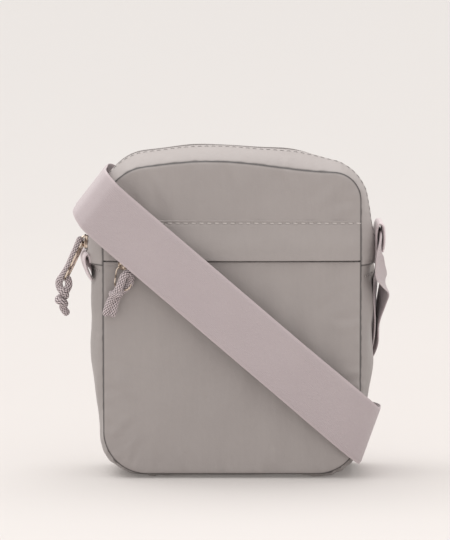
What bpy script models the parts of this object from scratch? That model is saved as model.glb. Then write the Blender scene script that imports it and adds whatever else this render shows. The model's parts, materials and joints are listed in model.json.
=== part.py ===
"""A small zipped crossbody bag in thin nylon, with a wide webbing strap looped diagonally round it.

Metres, +Z up, x to the wearer's right in the front view, the front panel facing -Y. The origin is on the
ground under the middle of the base. Every sub-part is one closed solid in its own object.
"""

import math

import bmesh
import bpy
import numpy as np

for old in list(bpy.data.objects):
    bpy.data.objects.remove(old, do_unlink=True)

# Driving dimensions.
MM = 0.001
HALF_WIDTH = 82.5 * MM          # seam to centre line
SEAM_BOTTOM = 2.5 * MM          # seam height above the ground
SEAM_TOP = 197.0 * MM           # seam height at the corners, before the arch
ARCH = 7.0 * MM                 # extra height at the crown of the arch
ARCH_CENTRE = -14.0 * MM        # the crown sits a little off centre
ARCH_HALF = 83.0 * MM
CORNER_BOTTOM = 28.0 * MM
CORNER_TOP_LEFT = 26.0 * MM
CORNER_TOP_RIGHT = 18.0 * MM
HALF_DEPTH = 30.0 * MM          # seam plane to centre plane
BULGE = 8.5 * MM                # how far the gusset stands out of the seam
BULGE_LOW = 3.0 * MM            # the same round the bottom corners and under the base
BULGE_START = 28.0 * MM         # the bulge grows from this height
BULGE_FULL = 76.0 * MM          # to this one
CORNER_SHARE = 0.55             # the share of the bulge that is left round the two top corners
CORNER_HEIGHT = 196.0 * MM      # where those corners are
CORNER_SPREAD = 15.0 * MM
CROSS_SEAM = 137.2 * MM         # where the zip gusset meets the bottom gusset
CLOTH = 1.0 * MM                # shell cloth with its backing
LINING = 0.5 * MM
LINING_INSET = 1.5 * MM         # the linings stop this far inside the seam
LINING_FRONT = -25.9 * MM       # where the main compartment's front lining hangs
LINING_BACK = 27.8 * MM
LINING_EDGE_FRONT = -25.1 * MM
LINING_EDGE_BACK = 27.5 * MM
POCKET_LINING = -27.0 * MM      # the back wall of the front pocket
POCKET_DEEP = 158.0 * MM        # top of that wall, above the zip
GAP = 0.3 * MM
TAPE = 0.5 * MM
TAPE_REACH = 12.5 * MM          # zip tape, from the middle of the zip
COIL_REACH = 3.2 * MM           # zip coil, from the middle of the zip
COIL_TOP = 0.5 * MM             # the coil stands this far out of the cloth
COIL_DEPTH = 1.5 * MM
COIL_GAP = 0.8 * MM             # half the free space between the two rows of coil
ZIP_OPENING = 6.5 * MM          # half the width of the slot that the main zip closes
POCKET_ZIP_HEIGHT = 143.0 * MM
POCKET_TOP = 139.4 * MM
YOKE_BOTTOM = 146.7 * MM
BAND_BOTTOM = 140.6 * MM
BAND_TOP = 166.0 * MM
CORD_RADIUS = 2.1 * MM
WIRE_RADIUS = 0.55 * MM
STRAP_HALF_THICKNESS = 0.7 * MM
TAB_HALF = 18.0 * MM            # half the width of the tabs, front to back
LEFT_LEAN = -1.85 * MM
BINDING_AT = 29.2 * MM          # middle of the seam bindings, from the centre plane

NYLON = (0.36, 0.335, 0.32)
LINING_COLOUR = (0.30, 0.28, 0.27)
WEBBING = (0.50, 0.42, 0.43)
CORD_COLOUR = (0.42, 0.36, 0.37)
METAL = (0.72, 0.60, 0.48)
TAPE_COLOUR = (0.30, 0.28, 0.27)


def finish(name, colour, roughness=0.6, metallic=0.0):
    """Return the named Principled material."""
    material = bpy.data.materials.new(name)
    material.use_nodes = True
    shader = material.node_tree.nodes["Principled BSDF"]
    shader.inputs["Base Color"].default_value = (*colour, 1.0)
    shader.inputs["Roughness"].default_value = roughness
    shader.inputs["Metallic"].default_value = metallic
    return material


def add_object(name, points, faces, colour, roughness=0.6, metallic=0.0, origin=(0, 0, 0)):
    """Put a closed mesh in the scene under its node name, with its origin where it turns or slides from."""
    origin = np.array(origin, float)
    mesh = bpy.data.meshes.new(name)
    mesh.from_pydata([tuple(p) for p in np.asarray(points) - origin], [], faces)
    shaped = bmesh.new()
    shaped.from_mesh(mesh)
    bmesh.ops.recalc_face_normals(shaped, faces=shaped.faces)
    shaped.to_mesh(mesh)
    shaped.free()
    mesh.shade_smooth()
    mesh.set_sharp_from_angle(angle=math.radians(40))
    thing = bpy.data.objects.new(name, mesh)
    thing.location = origin
    mesh.materials.append(finish(name + "_finish", colour, roughness, metallic))
    bpy.context.collection.objects.link(thing)
    return thing


def shell(name, outer, inner, colour, ring=False, **extra):
    """Join two matching grids of points, rows by columns, into one closed wall; ring closes the rows."""
    outer = np.asarray(outer)
    inner = np.asarray(inner)
    rows, columns = outer.shape[:2]
    points = np.concatenate([outer.reshape(-1, 3), inner.reshape(-1, 3)])
    back = rows * columns
    faces = []
    last_row = rows if ring else rows - 1

    def at(i, j):
        return (i % rows) * columns + j

    for i in range(last_row):
        for j in range(columns - 1):
            quad = [at(i, j), at(i + 1, j), at(i + 1, j + 1), at(i, j + 1)]
            faces.append(quad)
            faces.append([back + k for k in reversed(quad)])
        for j in (0, columns - 1):
            faces.append([at(i, j), at(i + 1, j), back + at(i + 1, j), back + at(i, j)])
    if not ring:
        for i in (0, rows - 1):
            for j in range(columns - 1):
                faces.append([at(i, j), at(i, j + 1), back + at(i, j + 1), back + at(i, j)])
    return add_object(name, points, faces, colour, **extra)


def tube_mesh(path, radii, sides=8, closed=False, squash=1.0):
    """Points and faces of a tube along a path, one radius to each point; squash flattens it along Y."""
    path = np.asarray(path, float)
    count = len(path)
    tangents = np.roll(path, -1, 0) - np.roll(path, 1, 0) if closed else np.gradient(path, axis=0)
    tangents /= np.linalg.norm(tangents, axis=1)[:, None]
    normal = np.cross(tangents[0], [0.3, 1.0, 0.2])
    normal /= np.linalg.norm(normal)
    points = []
    for i in range(count):
        normal = normal - tangents[i] * np.dot(normal, tangents[i])
        normal /= np.linalg.norm(normal)
        side = np.cross(tangents[i], normal)
        for k in range(sides):
            angle = 2 * math.pi * k / sides
            offset = radii[i] * (math.cos(angle) * normal + math.sin(angle) * side)
            offset[1] *= squash
            points.append(path[i] + offset)
    faces = []
    for i in range(count if closed else count - 1):
        for k in range(sides):
            a = i * sides + k
            b = i * sides + (k + 1) % sides
            c = ((i + 1) % count) * sides
            faces.append([a, b, c + (k + 1) % sides, c + k])
    if not closed:
        faces.append(list(range(sides)))
        faces.append([(count - 1) * sides + k for k in reversed(range(sides))])
    return points, faces


def smooth_path(points, count):
    """Read a Catmull-Rom curve through the points at evenly spaced lengths."""
    points = np.asarray(points, float)
    padded = np.vstack([2 * points[0] - points[1], points, 2 * points[-1] - points[-2]])
    steps = np.linspace(0, 1, 16, endpoint=False)[:, None]
    pieces = []
    for a, b, c, d in zip(padded, padded[1:], padded[2:], padded[3:]):
        square = 2 * a - 5 * b + 4 * c - d
        cube = 3 * b - a - 3 * c + d
        pieces.append(0.5 * (2 * b + (c - a) * steps + square * steps**2 + cube * steps**3))
    curve = np.vstack(pieces + [points[-1:]])
    lengths = np.concatenate([[0], np.cumsum(np.linalg.norm(np.diff(curve[:, :3], axis=0), axis=1))])
    wanted = np.linspace(0, lengths[-1], count)
    return np.stack([np.interp(wanted, lengths, curve[:, k]) for k in range(points.shape[1])], axis=1)


# The outline that every panel and gusset follows.


def lift(x, z):
    """Raise the upper part of the outline into the arch."""
    bell = 0.5 + 0.5 * np.cos(math.pi * np.clip((x - ARCH_CENTRE) / ARCH_HALF, -1, 1))
    rise = np.clip((z - CROSS_SEAM) / (SEAM_TOP - CROSS_SEAM), 0, 1)
    return z + ARCH * bell * rise * rise * (3 - 2 * rise)


def arc(centre_x, centre_z, radius, first, last, steps):
    """A circular run of the seam: points and outward normals."""
    angles = np.radians(np.linspace(first, last, steps))
    normals = np.stack([np.cos(angles), np.sin(angles)], axis=1)
    return np.array([centre_x, centre_z]) + radius * normals, normals


def straight(start, end, normal, steps):
    """A straight run of the seam, without its two ends: points and outward normals."""
    points = np.linspace(start, end, steps + 2)[1:-1]
    return points, np.tile(normal, (steps, 1))


def seam_over():
    """The seam from the left cross seam over the top to the right one: points and outward normals."""
    left = -HALF_WIDTH
    turn_left = SEAM_TOP - CORNER_TOP_LEFT
    turn_right = SEAM_TOP - CORNER_TOP_RIGHT
    top_left = (left + CORNER_TOP_LEFT, SEAM_TOP)
    top_right = (HALF_WIDTH - CORNER_TOP_RIGHT, SEAM_TOP)
    start = np.array([[left, CROSS_SEAM]]), np.array([[-1.0, 0.0]])
    end = np.array([[HALF_WIDTH, CROSS_SEAM]]), np.array([[1.0, 0.0]])
    runs = [
        start,
        straight((left, CROSS_SEAM), (left, turn_left), (-1, 0), 2),
        arc(left + CORNER_TOP_LEFT, turn_left, CORNER_TOP_LEFT, 180, 90, 9),
        straight(top_left, top_right, (0, 1), 14),
        arc(HALF_WIDTH - CORNER_TOP_RIGHT, turn_right, CORNER_TOP_RIGHT, 90, 0, 8),
        straight((HALF_WIDTH, turn_right), (HALF_WIDTH, CROSS_SEAM), (1, 0), 2),
        end,
    ]
    return [np.concatenate(part) for part in zip(*runs)]


def seam_under():
    """The seam from the right cross seam down round the base and up to the left one."""
    corner_z = SEAM_BOTTOM + CORNER_BOTTOM
    corner_x = HALF_WIDTH - CORNER_BOTTOM
    start = np.array([[HALF_WIDTH, CROSS_SEAM - GAP]]), np.array([[1.0, 0.0]])
    end = np.array([[-HALF_WIDTH, CROSS_SEAM - GAP]]), np.array([[-1.0, 0.0]])
    runs = [
        start,
        straight((HALF_WIDTH, CROSS_SEAM), (HALF_WIDTH, corner_z), (1, 0), 6),
        arc(corner_x, corner_z, CORNER_BOTTOM, 0, -90, 9),
        straight((corner_x, SEAM_BOTTOM), (-corner_x, SEAM_BOTTOM), (0, -1), 5),
        arc(-corner_x, corner_z, CORNER_BOTTOM, -90, -180, 9),
        straight((-HALF_WIDTH, corner_z), (-HALF_WIDTH, CROSS_SEAM), (-1, 0), 6),
        end,
    ]
    return [np.concatenate(part) for part in zip(*runs)]


def bulge(x, z, across):
    """How far the gusset is out at a place on the seam, and across: -1 at the front seam, 1 at the back."""
    t = np.clip((z - BULGE_START) / (BULGE_FULL - BULGE_START), 0, 1)
    height = BULGE_LOW + (BULGE - BULGE_LOW) * t * t * (3 - 2 * t)
    from_corner = np.hypot(np.abs(x) - HALF_WIDTH, z - CORNER_HEIGHT) / CORNER_SPREAD
    height *= 1 - (1 - CORNER_SHARE) * np.exp(-from_corner**2)
    return height * (1 - np.abs(across) ** 2.2)


def gusset_sheet(seam, first, last, columns, depth, lowest):
    """A grid along a seam and across the bag between two y values, sunk by depth below the outer face."""
    points, normals = seam
    ys = np.linspace(first, last, columns)
    grid = np.zeros((len(points), columns, 3))
    for j, y in enumerate(ys):
        out = bulge(points[:, 0], points[:, 1], y / (HALF_DEPTH - GAP)) - depth
        x = points[:, 0] + normals[:, 0] * out
        z = points[:, 1] + normals[:, 1] * out
        grid[:, j, 0] = x
        grid[:, j, 1] = y
        grid[:, j, 2] = np.maximum(lift(x, z), lowest)
    return grid


def gusset(name, seam, first, last, columns, top, thickness, colour, lowest=0.0, **extra):
    """A strip of gusset between two y values, its outer face `top` below the cloth's outer face."""
    outer = gusset_sheet(seam, first, last, columns, top, lowest)
    inner = gusset_sheet(seam, first, last, columns, top + thickness, lowest + thickness)
    return shell(name, outer, inner, colour, **extra)


def columns_across(inset, count):
    """Column places across the panel, closer together near the rounded sides."""
    half = HALF_WIDTH - inset
    return -half * np.cos(np.linspace(0, math.pi, count))


def panel_bottom(x, inset):
    """Height of the panel's lower edge at x."""
    radius = CORNER_BOTTOM - inset
    past = np.clip(np.abs(x) - (HALF_WIDTH - CORNER_BOTTOM), 0, radius)
    return SEAM_BOTTOM + CORNER_BOTTOM - np.sqrt(radius**2 - past**2)


def panel_top(x, inset):
    """Height of the panel's upper edge at x, under the arch."""
    corner = np.where(x < 0, CORNER_TOP_LEFT, CORNER_TOP_RIGHT)
    radius = corner - inset
    past = np.clip(np.abs(x) - (HALF_WIDTH - corner), 0, radius)
    return lift(x, SEAM_TOP - corner + np.sqrt(radius**2 - past**2))


def panel(name, inset, low, high, rows, front, thickness, colour, **extra):
    """A flat panel between two edges; low and high are heights, or functions of x and the inset."""
    xs = columns_across(inset, 29)
    bottom = low(xs, inset) if callable(low) else np.full(len(xs), low)
    top = high(xs, inset) if callable(high) else np.full(len(xs), high)
    share = np.linspace(0, 1, rows)
    grid = np.zeros((len(xs), rows, 3))
    grid[:, :, 0] = xs[:, None]
    grid[:, :, 1] = front
    grid[:, :, 2] = bottom[:, None] + (top - bottom)[:, None] * share
    behind = grid.copy()
    behind[:, :, 1] += thickness
    return shell(name, grid, behind, colour, **extra)


def seam_binding(name, middle_y, colour):
    """A folded tape that binds the raw seam edges inside the bag, all the way round."""
    over_points, over_normals = seam_over()
    under_points, under_normals = seam_under()
    points = np.concatenate([over_points, under_points])
    normals = np.concatenate([over_normals, under_normals])
    faces = []
    for y in (middle_y - 0.4 * MM, middle_y + 0.4 * MM):
        grid = np.zeros((len(points), 2, 3))
        for j, inset in enumerate((1.4 * MM, 4.4 * MM)):
            x = points[:, 0] - normals[:, 0] * inset
            z = points[:, 1] - normals[:, 1] * inset
            grid[:, j] = np.stack([x, np.full(len(x), y), lift(x, z)], axis=1)
        faces.append(grid)
    return shell(name, faces[0], faces[1], colour, ring=True)


# Front, back and gussets.

FRONT = -HALF_DEPTH - CLOTH
panel("front_pocket_panel", 0, panel_bottom, POCKET_TOP, 4, FRONT, CLOTH, NYLON)
panel("front_yoke", 0, YOKE_BOTTOM, panel_top, 4, FRONT, CLOTH, NYLON)
panel("back_panel", 0, panel_bottom, panel_top, 5, HALF_DEPTH, CLOTH, NYLON)
panel("pocket_lining", LINING_INSET, panel_bottom, POCKET_DEEP, 3, POCKET_LINING, LINING, LINING_COLOUR)
panel("lining_front", LINING_INSET, panel_bottom, panel_top, 4, LINING_FRONT, LINING, LINING_COLOUR)
panel("lining_back", LINING_INSET, panel_bottom, panel_top, 4, LINING_BACK, LINING, LINING_COLOUR)


def front_band():
    """The flap over the pocket zip: flat at its stitched top, standing clear of the slider at its lip."""
    xs = columns_across(0, 29)
    heights = np.array([BAND_BOTTOM, 144 * MM, 148 * MM, 154 * MM, 160 * MM, BAND_TOP])
    stand = np.array([3.1, 3.1, 3.1, 2.1, 1.4, 1.3]) * MM
    grid = np.zeros((len(xs), len(heights), 3))
    grid[:, :, 0] = xs[:, None]
    grid[:, :, 1] = -HALF_DEPTH - stand
    grid[:, :, 2] = heights
    outer = grid.copy()
    outer[:, :, 1] -= CLOTH
    return shell("front_band", outer, grid, NYLON)


front_band()
EDGE = HALF_DEPTH - GAP
gusset("side_bottom_gusset", seam_under(), -EDGE, EDGE, 11, 0, CLOTH, NYLON)
gusset("zip_gusset_front", seam_over(), -EDGE, -ZIP_OPENING, 6, 0, CLOTH, NYLON)
gusset("zip_gusset_back", seam_over(), ZIP_OPENING, EDGE, 6, 0, CLOTH, NYLON)
LINING_DROP = CLOTH + 0.9 * MM
LINING_TOP = 14.0 * MM
gusset("lining_gusset", seam_under(), LINING_EDGE_FRONT, LINING_EDGE_BACK, 9, LINING_DROP, LINING,
       LINING_COLOUR, LINING_DROP)
gusset("lining_top_front", seam_over(), LINING_EDGE_FRONT, -LINING_TOP, 4, LINING_DROP, LINING, LINING_COLOUR)
gusset("lining_top_back", seam_over(), LINING_TOP, LINING_EDGE_BACK, 4, LINING_DROP, LINING, LINING_COLOUR)
seam_binding("front_seam_binding", -BINDING_AT, TAPE_COLOUR)
seam_binding("back_seam_binding", BINDING_AT, TAPE_COLOUR)

# Main zip: two tapes under the gusset strips, a row of coil on each, a slider round both.

TAPE_DROP = CLOTH + GAP
for side, sign in (("front", -1), ("back", 1)):
    first, last = sorted((sign * TAPE_REACH, sign * COIL_GAP))
    gusset("main_zip_tape_" + side, seam_over(), first, last, 3, TAPE_DROP, TAPE, TAPE_COLOUR)
    first, last = sorted((sign * COIL_REACH, sign * COIL_GAP))
    gusset("main_zip_coil_" + side, seam_over(), first, last, 2, -COIL_TOP, COIL_DEPTH, TAPE_COLOUR,
           roughness=0.4)


def beam(points, faces, profile, length, place):
    """Extrude a closed profile of (across, out) points along the track, and place it."""
    start = len(points)
    for end in (-length / 2, length / 2):
        for across, out in profile:
            points.append(place(end, across, out))
    n = len(profile)
    for k in range(n):
        faces.append([start + k, start + (k + 1) % n, start + n + (k + 1) % n, start + n + k])
    faces.append([start + k for k in reversed(range(n))])
    faces.append([start + n + k for k in range(n)])


def join(base, tool):
    """Boolean-union a tool object into a base object and drop the tool."""
    cut = base.modifiers.new("join", "BOOLEAN")
    cut.operation = "UNION"
    cut.object = tool
    cut.solver = "EXACT"
    tool.hide_render = True
    tool.display_type = "WIRE"


def slider(name, place, coil_top, tape_bottom, low_side, staple, length, origin):
    """A zip slider: upper and lower plates joined by a thin post between the coils, and a bail on top."""
    half = 3.9 * MM
    post = 0.45 * MM
    upper = coil_top + 0.3 * MM
    lower = tape_bottom - 0.3 * MM
    profile = [
        (-half - low_side, upper + 1 * MM), (-half - low_side, upper), (-post, upper), (-post, lower),
        (-half, lower), (-half, lower - 0.9 * MM), (half, lower - 0.9 * MM), (half, lower),
        (post, lower), (post, upper), (half, upper), (half, upper + 1 * MM),
    ]
    points, faces = [], []
    beam(points, faces, profile, length, place)
    body = add_object(name, points, faces, METAL, 0.3, 1.0, origin)
    loop = [staple(t, upper + 1 * MM) for t in np.linspace(0, 1, 9)]
    bar, bar_faces = tube_mesh([place(*p) for p in loop], [0.6 * MM] * len(loop), 6)
    tool = add_object(name + "_bail_tool", bar, bar_faces, METAL)
    join(body, tool)
    return upper + 1 * MM


# The main zip's track runs up the left side; out is -X there.

MAIN_TRACK_X = -(HALF_WIDTH + BULGE)
MAIN_SLIDER_Z = 149.8 * MM
SLIDER_LENGTH = 9.5 * MM


def on_main_track(along, across, out):
    return (MAIN_TRACK_X - out, across, MAIN_SLIDER_Z + along)


def main_staple(t, top):
    """An arch along the track, standing off the upper plate."""
    angle = math.pi * t
    return (-2.7 * MM * math.cos(angle), 0.0, top - 0.4 * MM + 3.1 * MM * math.sin(angle))


main_top = slider("main_zip_slider", on_main_track, COIL_TOP, -TAPE_DROP - TAPE, 0, main_staple,
                  SLIDER_LENGTH, (MAIN_TRACK_X, 0, MAIN_SLIDER_Z))

# The puller is a long wire frame hinged on the bail, leaning out; it lies across Y, edge-on from the front.

PULL_PIVOT = np.array(on_main_track(-0.4 * MM, 0, main_top + 1.35 * MM))
PULL_LEAN = math.radians(26)
PULL_DOWN = np.array([-math.sin(PULL_LEAN), 0, -math.cos(PULL_LEAN)])
PULL_OUT = np.array([-math.cos(PULL_LEAN), 0, math.sin(PULL_LEAN)])
PULL_LENGTH = 26.5 * MM
PULL_HALF = 3.3 * MM
PULL_CORNER = 1.6 * MM


def wire_frame(name, top, down, across, half, length, corner, steps, wire, origin):
    """A closed frame of wire: a rounded rectangle hanging from its top bar."""
    centres = [(half - corner, corner), (half - corner, length - corner)]
    centres += [(corner - half, length - corner), (corner - half, corner)]
    path = []
    for quarter, (side, drop) in enumerate(centres):
        for k in range(steps):
            angle = math.radians(-90 + 90 * (quarter + k / (steps - 1)))
            along = drop + corner * math.sin(angle)
            path.append(top + across * (side + corner * math.cos(angle)) + down * along)
    points, faces = tube_mesh(path, [wire] * len(path), 6, closed=True)
    return add_object(name, points, faces, METAL, 0.25, 1.0, origin)


wire_frame("main_zip_puller", PULL_PIVOT, PULL_DOWN, np.array([0, 1.0, 0]), PULL_HALF, PULL_LENGTH,
           PULL_CORNER, 4, WIRE_RADIUS, PULL_PIVOT)

# The cord comes off the frame's outer side, turns under its end and is tied in a knot with a short tail.

MAIN_CORD = [(-109.6, 1.2, 117.6), (-111.8, 0.8, 120.6), (-111.4, 0.2, 124.6), (-107.7, 0, 130.0),
             (-104.8, 0, 136.0), (-102.2, 0, 141.4), (-100.3, 0, 146.6)]
points, faces = tube_mesh(smooth_path(np.array(MAIN_CORD) * MM, 26), [CORD_RADIUS] * 26, 8)
add_object("main_pull_cord", points, faces, CORD_COLOUR, 0.8, origin=PULL_PIVOT)
MAIN_KNOT = [(-109.8, -0.6, 115.0), (-110.6, -0.4, 112.4), (-110.0, -0.2, 108.6), (-106.6, 0, 103.6)]
knot_places = [0, 0.12, 0.42, 0.62, 0.9, 1]
knot_radii = np.interp(np.linspace(0, 1, 14), knot_places, np.array([2.4, 3.7, 3.7, 2.3, 2.3, 1.4]) * MM)
points, faces = tube_mesh(smooth_path(np.array(MAIN_KNOT) * MM, 14), knot_radii, 8)
add_object("main_pull_knot", points, faces, CORD_COLOUR, 0.8, origin=PULL_PIVOT)

# Front pocket zip, behind the band: tapes, coils, slider, ring and cord.

POCKET_INSET = 5 * MM
POCKET_COIL_OUT = 1.35 * MM     # the coil's outer face, in front of the seam plane
POCKET_COIL_DEPTH = 1.3 * MM
POCKET_TAPE_OUT = -0.25 * MM
POCKET_TAPE_REACH = 12.0 * MM


def pocket_strip(name, edges, out, thickness, roughness=0.6):
    """A straight strip behind the band, between two distances from the zip's middle line."""
    half = HALF_WIDTH - POCKET_INSET
    xs = np.array([-half, half])
    grid = np.zeros((2, 2, 3))
    grid[:, :, 0] = xs[:, None]
    grid[:, :, 1] = -HALF_DEPTH - out
    grid[:, :, 2] = POCKET_ZIP_HEIGHT + np.array(edges)
    behind = grid.copy()
    behind[:, :, 1] += thickness
    return shell(name, grid, behind, TAPE_COLOUR, roughness=roughness)


pocket_strip("pocket_zip_tape_lower", (-POCKET_TAPE_REACH, -COIL_GAP), POCKET_TAPE_OUT, TAPE)
pocket_strip("pocket_zip_tape_upper", (COIL_GAP, POCKET_TAPE_REACH), POCKET_TAPE_OUT, TAPE)
pocket_strip("pocket_zip_coil_lower", (-COIL_REACH, -COIL_GAP), POCKET_COIL_OUT, POCKET_COIL_DEPTH, 0.4)
pocket_strip("pocket_zip_coil_upper", (COIL_GAP, COIL_REACH), POCKET_COIL_OUT, POCKET_COIL_DEPTH, 0.4)
POCKET_SLIDER_X = -68.0 * MM


def on_pocket_track(along, across, out):
    return (POCKET_SLIDER_X + along, -HALF_DEPTH - out, POCKET_ZIP_HEIGHT + across)


def pocket_staple(t, top):
    """An arch across the track, on the slider's lower edge."""
    angle = math.pi * t
    return (0.0, -5.7 * MM - 1.6 * MM * math.cos(angle), top - 0.4 * MM + 3.2 * MM * math.sin(angle))


POCKET_TONGUE = 5.0 * MM        # the upper plate reaches this far down, to carry the bail below the band
pocket_top = slider("pocket_zip_slider", on_pocket_track, POCKET_COIL_OUT, POCKET_TAPE_OUT - TAPE,
                    POCKET_TONGUE, pocket_staple, SLIDER_LENGTH,
                    (POCKET_SLIDER_X, -HALF_DEPTH, POCKET_ZIP_HEIGHT))
RING_PIVOT = np.array(on_pocket_track(0, -5.7 * MM, pocket_top + 1.0 * MM))
RING_DOWN = np.array([-0.12, -0.22, -0.98])
RING_DOWN /= np.linalg.norm(RING_DOWN)
RING_ACROSS = np.cross(RING_DOWN, [0, -1, 0])
RING_ACROSS /= np.linalg.norm(RING_ACROSS)
RING_HALF = 5.2 * MM
RING_LENGTH = 15.6 * MM
RING_CORNER = 4.6 * MM
wire_frame("pocket_zip_ring", RING_PIVOT, RING_DOWN, RING_ACROSS, RING_HALF, RING_LENGTH, RING_CORNER, 6,
           WIRE_RADIUS, RING_PIVOT)

# The pocket cord passes through the ring and falls to the lower left; its tail is two strands side by side.

POCKET_CORD = [(-72.6, -40.2, 118.4), (-71.7, -40.6, 122.4), (-70.0, -40.3, 127.0), (-68.0, -37.4, 129.4),
               (-67.2, -34.3, 127.0), (-69.0, -33.6, 122.4), (-71.6, -33.9, 118.4)]
POCKET_CORD_RADIUS = 1.9 * MM
points, faces = tube_mesh(smooth_path(np.array(POCKET_CORD) * MM, 26), [POCKET_CORD_RADIUS] * 26, 8)
add_object("pocket_pull_cord", points, faces, CORD_COLOUR, 0.8, origin=RING_PIVOT)
POCKET_KNOT = [(-73.9, -37.3, 115.6), (-76.4, -37.3, 111.6), (-78.2, -36.9, 105.6)]
knot_radii = np.interp(np.linspace(0, 1, 12), [0, 0.12, 0.85, 1], np.array([3.0, 4.4, 4.1, 2.6]) * MM)
points, faces = tube_mesh(smooth_path(np.array(POCKET_KNOT) * MM, 12), knot_radii, 8, squash=0.9)
add_object("pocket_pull_knot", points, faces, CORD_COLOUR, 0.8, origin=RING_PIVOT)

# Webbing: side tabs, the strap and its adjuster.


def folded_tab(name, profile, half_y, lean, colour):
    """A loop of webbing seen edge-on: a profile of (x, z) points, in millimetres, carried along Y; lean
    shifts its back edge in x, and its front edge the other way."""
    line = smooth_path(np.array([(x, 0, z) for x, z in profile]) * MM, 22)[:, [0, 2]]
    tangent = np.gradient(line, axis=0)
    tangent /= np.linalg.norm(tangent, axis=1)[:, None]
    normal = np.stack([tangent[:, 1], -tangent[:, 0]], axis=1) * STRAP_HALF_THICKNESS
    walls = []
    for sign in (1, -1):
        edge = line + sign * normal
        grid = np.zeros((len(edge), 2, 3))
        grid[:, :, 0] = edge[:, 0][:, None] + np.array([-lean, lean])
        grid[:, :, 1] = (-half_y, half_y)
        grid[:, :, 2] = edge[:, 1][:, None]
        walls.append(grid)
    return shell(name, walls[0], walls[1], colour, roughness=0.8)


RIGHT_TAB = [(92.6, 138.6), (92.7, 144), (92.8, 151), (92.9, 157), (93.9, 161.6), (95.6, 162.6),
             (97.3, 160.6), (97.8, 155), (97.6, 149), (96.6, 144.4)]
LEFT_TAB = [(-92.9, 137.6), (-93.3, 140.8), (-94.9, 142.2), (-96.5, 139.8), (-96.3, 135.4), (-94.6, 130.8),
            (-93.0, 127.4)]
folded_tab("right_tab", RIGHT_TAB, TAB_HALF, 0, WEBBING)
folded_tab("left_tab", LEFT_TAB, TAB_HALF, LEFT_LEAN, WEBBING)

# The strap's centre line and half-width vector at each place, in millimetres, from the sewn end at the
# adjuster, up through the right tab, across the back, round the upper left, down the front, round the
# lower right and across the back to the left tab.
STRAP_ROUTE = [
    (54, 36.2, 84.6, 5.5, 0, 17.4), (74, 36.2, 80, 2, 0, 18.1), (86.8, 34.8, 83, 1, 3, 17.6),
    (92.2, 25, 91, 1, 11, 13.5), (92.9, 11, 103, 0.5, 16, 7.5), (92.9, 3, 116, 1.6, 16, 4),
    (93.4, 8, 128, 1.6, 13, 5.5), (94.9, 20.5, 139, 0.8, 3, 6), (95.1, 22, 147, 0.8, 1, 6),
    (95.2, 14, 152, 0.6, 0, 6), (95.2, -12, 152, 0.6, 0, 6), (95.0, -21.6, 149, 0.2, -2.3, 4.5),
    (94.8, -23.4, 143, -2.1, -3.5, 1), (95.2, -20, 136.5, -3.1, -8, 0.8),
    (95.9, -16, 130, -3.9, -12, -0.5), (98.0, -9, 124.6, -1.6, -14.5, -1.8),
    (98.9, -4, 120.4, 1.9, -14.5, -3), (97.4, 2, 113.5, 1.3, -15, -4.5),
    (95.4, 12, 103.6, -0.2, -15.2, -7.6), (94.8, 28, 92, 0.2, -11.3, -13.5),
    (90.4, 39.2, 83.5, -1, -3, -17.6), (78, 42.2, 79.6, -2, 0, -18.1), (57, 42.2, 83.4, -5.5, 0, -17.4),
    (34, 38.2, 96, -8.6, 0, -16.1), (0, 36.4, 121, -10.3, 0, -15.1), (-44, 36.8, 151, -10.4, 0, -15),
    (-74, 37.2, 173, -10.8, 0, -14.7), (-86.6, 34.2, 182.2, -10.9, 0, -14.0),
    (-90.6, 26, 184.6, -10.6, 0, -13.6), (-90.9, 0, 184.8, -10.5, 0, -13.4),
    (-90.6, -30, 184.6, -10.6, 0, -13.5), (-86.8, -40, 179.4, -11.1, 0, -14.0),
    (-77.8, -43.5, 170.3, -11.9, 0, -13.8), (-40, -43.6, 137.8, -11.9, 0, -13.8),
    (0, -43.6, 103.4, -11.9, 0, -13.8), (36, -43.2, 72.5, -11.9, 0, -13.8),
    (62, -40.0, 50.0, -11.4, 0, -14.6), (79, -36.6, 35.2, -8.8, 0, -16.9),
    (87.2, -29.5, 27.8, -6.7, 0, -18.3), (89.3, -14, 26.4, -6.7, 0, -18.3),
    (89.3, 8, 24.2, -6.7, 0, -18.3), (87.6, 27, 22.6, -6.0, 0, -18.3), (78, 35.4, 23.6, -3, 0, -18.2),
    (52, 36.4, 27, -0.8, 0, -18.3), (14, 36.4, 35, -3.4, 0, -18), (-24, 36.4, 48, -7.4, 0, -16.7),
    (-52, 36.4, 69, -11, 0, -14.6), (-69, 36.6, 92, -13, 0, -12.6), (-79, 36.0, 110, -9, 1.5, -13.5),
    (-86.8, 34.8, 124, -3.0, 2.2, -9), (-92.0, 26, 132, -0.4, 1.5, -4.5),
    (-97.35, 20.5, 137.4, 0, 0.2, -0.9), (-95.9, 12, 137.6, 0, 0, -1.1), (-95.4, 6, 137.6, 0, 0, -1.6),
]
STRAP_ROWS = 120


def strap():
    """The webbing: three points across each row, lifted half a thickness to either side."""
    rows = smooth_path(np.array(STRAP_ROUTE) * MM, STRAP_ROWS)
    centre, half = rows[:, :3], rows[:, 3:]
    tangent = np.gradient(centre, axis=0)
    normal = np.cross(tangent, half)
    normal /= np.linalg.norm(normal, axis=1)[:, None]
    across = np.linspace(-1, 1, 3)
    middle = centre[:, None, :] + half[:, None, :] * across[None, :, None]
    lift_off = normal[:, None, :] * STRAP_HALF_THICKNESS
    return shell("strap", middle + lift_off, middle - lift_off, WEBBING, roughness=0.8)


strap()
ADJUSTER_AT = np.array([57.4, 0, 83.6]) * MM
ADJUSTER_ANGLE = math.radians(17.5)
ADJUSTER_HALF = 21.5 * MM       # half its length, across the webbing
ADJUSTER_FRONT = 33.8 * MM
ADJUSTER_BACK = 45.6 * MM
ADJUSTER_RADIUS = 1.3 * MM


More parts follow.
